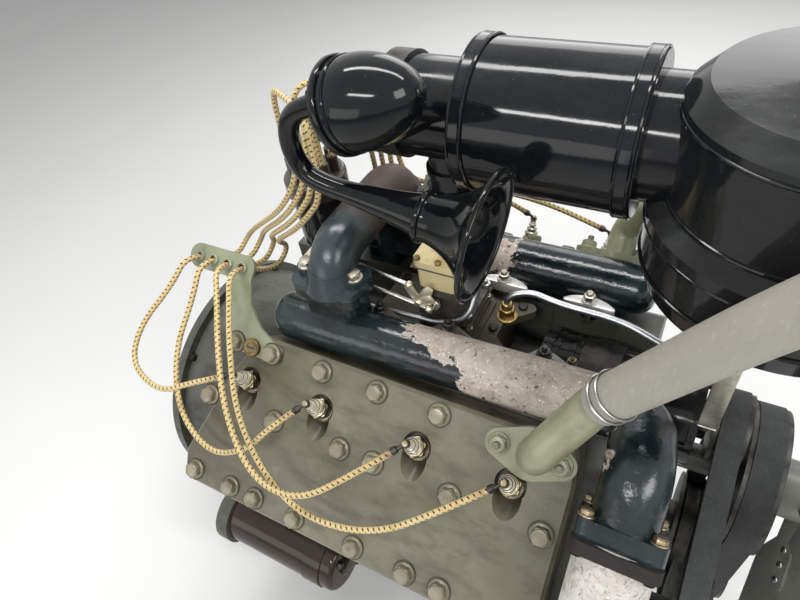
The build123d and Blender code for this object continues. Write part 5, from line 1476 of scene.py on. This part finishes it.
for y in (-9, 9):
    units.put(turned(terminal, 18), brass, at(0, -227, 18) @ lengthwise @ at(0, y, 0))
pump_axis = at(0, -199.97, 164.9) @ lengthwise
bolt_circle(units, pump_axis, 38, 714, (20, 92, 164, 236, 308), 6)
print("generator, starter and pump fittings with", len(units.shape.faces), "faces so far")

# %% Cleaner stay
stay_x = 746
stay_top, stay_knee, stay_foot = mm(stay_x, -60, 465.5), mm(stay_x, -60, 324), mm(stay_x, -37, 297)
units.put(block((18, 3, 142), 0.5), nickel_nut, Matrix.Translation((stay_top + stay_knee) / 2))
units.put(block((18, 24, 3), 0.5), nickel_nut, at(stay_x, -49, 465))
lower_leg = facing((stay_knee + stay_foot) / 2, stay_foot - stay_knee)
units.put(block((17, 3, 40), 0.5), nickel_nut, lower_leg)
hexagon_bolt(units, dark_steel, facing(mm(stay_x, -61.5, 452), rightward), radius=5.5)
hexagon_bolt(units, dark_steel, facing(stay_foot + mm(0, -1, 0), Vector((0, -0.66, 0.75))), radius=6)
units.finish("dark_steel")

# %% [markdown]
# ## Block, covers and pan
# Core plugs are domed steel discs pressed into the sides of each bank. The front cover,
# the bell housing and the pan are held by rows of small bolts, and thin gaskets show as
# lines where two castings meet.

# %% Block fittings
casing = Fitting("casing_bolts")
core_plug = turned([(0, 2.4), (8, 2.0), (15, 0.8), (17.4, -0.6), (18.2, -0.4), (18.8, 0.6), (18.8, -2.4),
                    (0, -2.4)], 40)
wall = facing(bank(0, -78, 235), down_the_bank)
for mirrored in banks.values():
    for x in bore_x:
        casing.put(core_plug, bright_steel, mirrored @ wall @ at(x, 0, -1.8), again=True)
    for x in range(180, 670, 44):
        hexagon_bolt(casing, dark_steel, mirrored @ at(x, -155.5, -57) @ upside_down, radius=5.6, height=7)
cover_ring = [(0, -98), (70, -68), (-70, -68), (98, 0), (-98, 0), (82, 60), (-82, 60), (60, 128), (-60, 128),
              (0, 171)]
for y, z in cover_ring:
    bolt = facing(mm(714, y, z), forward, leftward)
    hexagon_bolt(casing, dark_steel, bolt, radius=5.6, height=7)
for k in range(10):
    angle = radians(18 + 36 * k)
    bolt = facing(mm(14, 194 * cos(angle), 194 * sin(angle)), forward, leftward)
    hexagon_bolt(casing, dark_steel, bolt, radius=7, height=8)
casing.put(prism(12, 9, 6, 1), bright_steel, at(274, 0, -248))
casing.finish("dark_steel")

# %% Gaskets
seals = Fitting("gasket_edges")
head_edge = [(172, -76.6), (165, -40), (192.2, 29), (211.2, 84), (244, 139.6), (642.4, 139.6), (648.6, 98),
             (648.6, -76.6)]
for mirrored in banks.values():
    seals.put(cut_plate(head_edge, 1.6, 0), gasket_paper, mirrored @ facing(bank(0, 0, 279.4), outward))
seals.finish("dark_steel")

# %% [markdown]
# ## Pulleys and fan
# The fan's spider is riveted to its blades and bolted to the pulley's hub, so these pieces
# ride on the fan's body and turn with it.

# %% Fan and pulley fittings
hub = at(0, 0, 176) @ lengthwise
blade_pitch = radians(28)
fan_bolts = Fitting("fan_bolts")
bolt_circle(fan_bolts, hub, 24, 888, (0, 90, 180, 270), 5.4)
fan_bolts.put(turned([(0, 884), (14, 884), (15, 887), (15, 893), (12, 897), (0, 898)], 32), dark_steel, hub)
for k in range(4):
    turn = radians(90 * k + 45)
    radial = Vector((0, sin(turn), cos(turn)))
    chord = Vector((0, cos(turn), -sin(turn))) * cos(blade_pitch) + forward * sin(blade_pitch)
    face = radial.cross(chord)
    for reach in (70, 88, 106):
        for way in (-1, 1):
            rivet = facing(mm(872, 0, 176) + radial * reach / 1000 + face * way * 0.0046, face * way, radial)
            fan_bolts.put(turned([(0, 0), (4, 0), (3.6, 1.2), (2, 2.2), (0, 2.5)], 14), bright_steel, rivet)
fan_bolts.finish("dark_steel", body="fan")
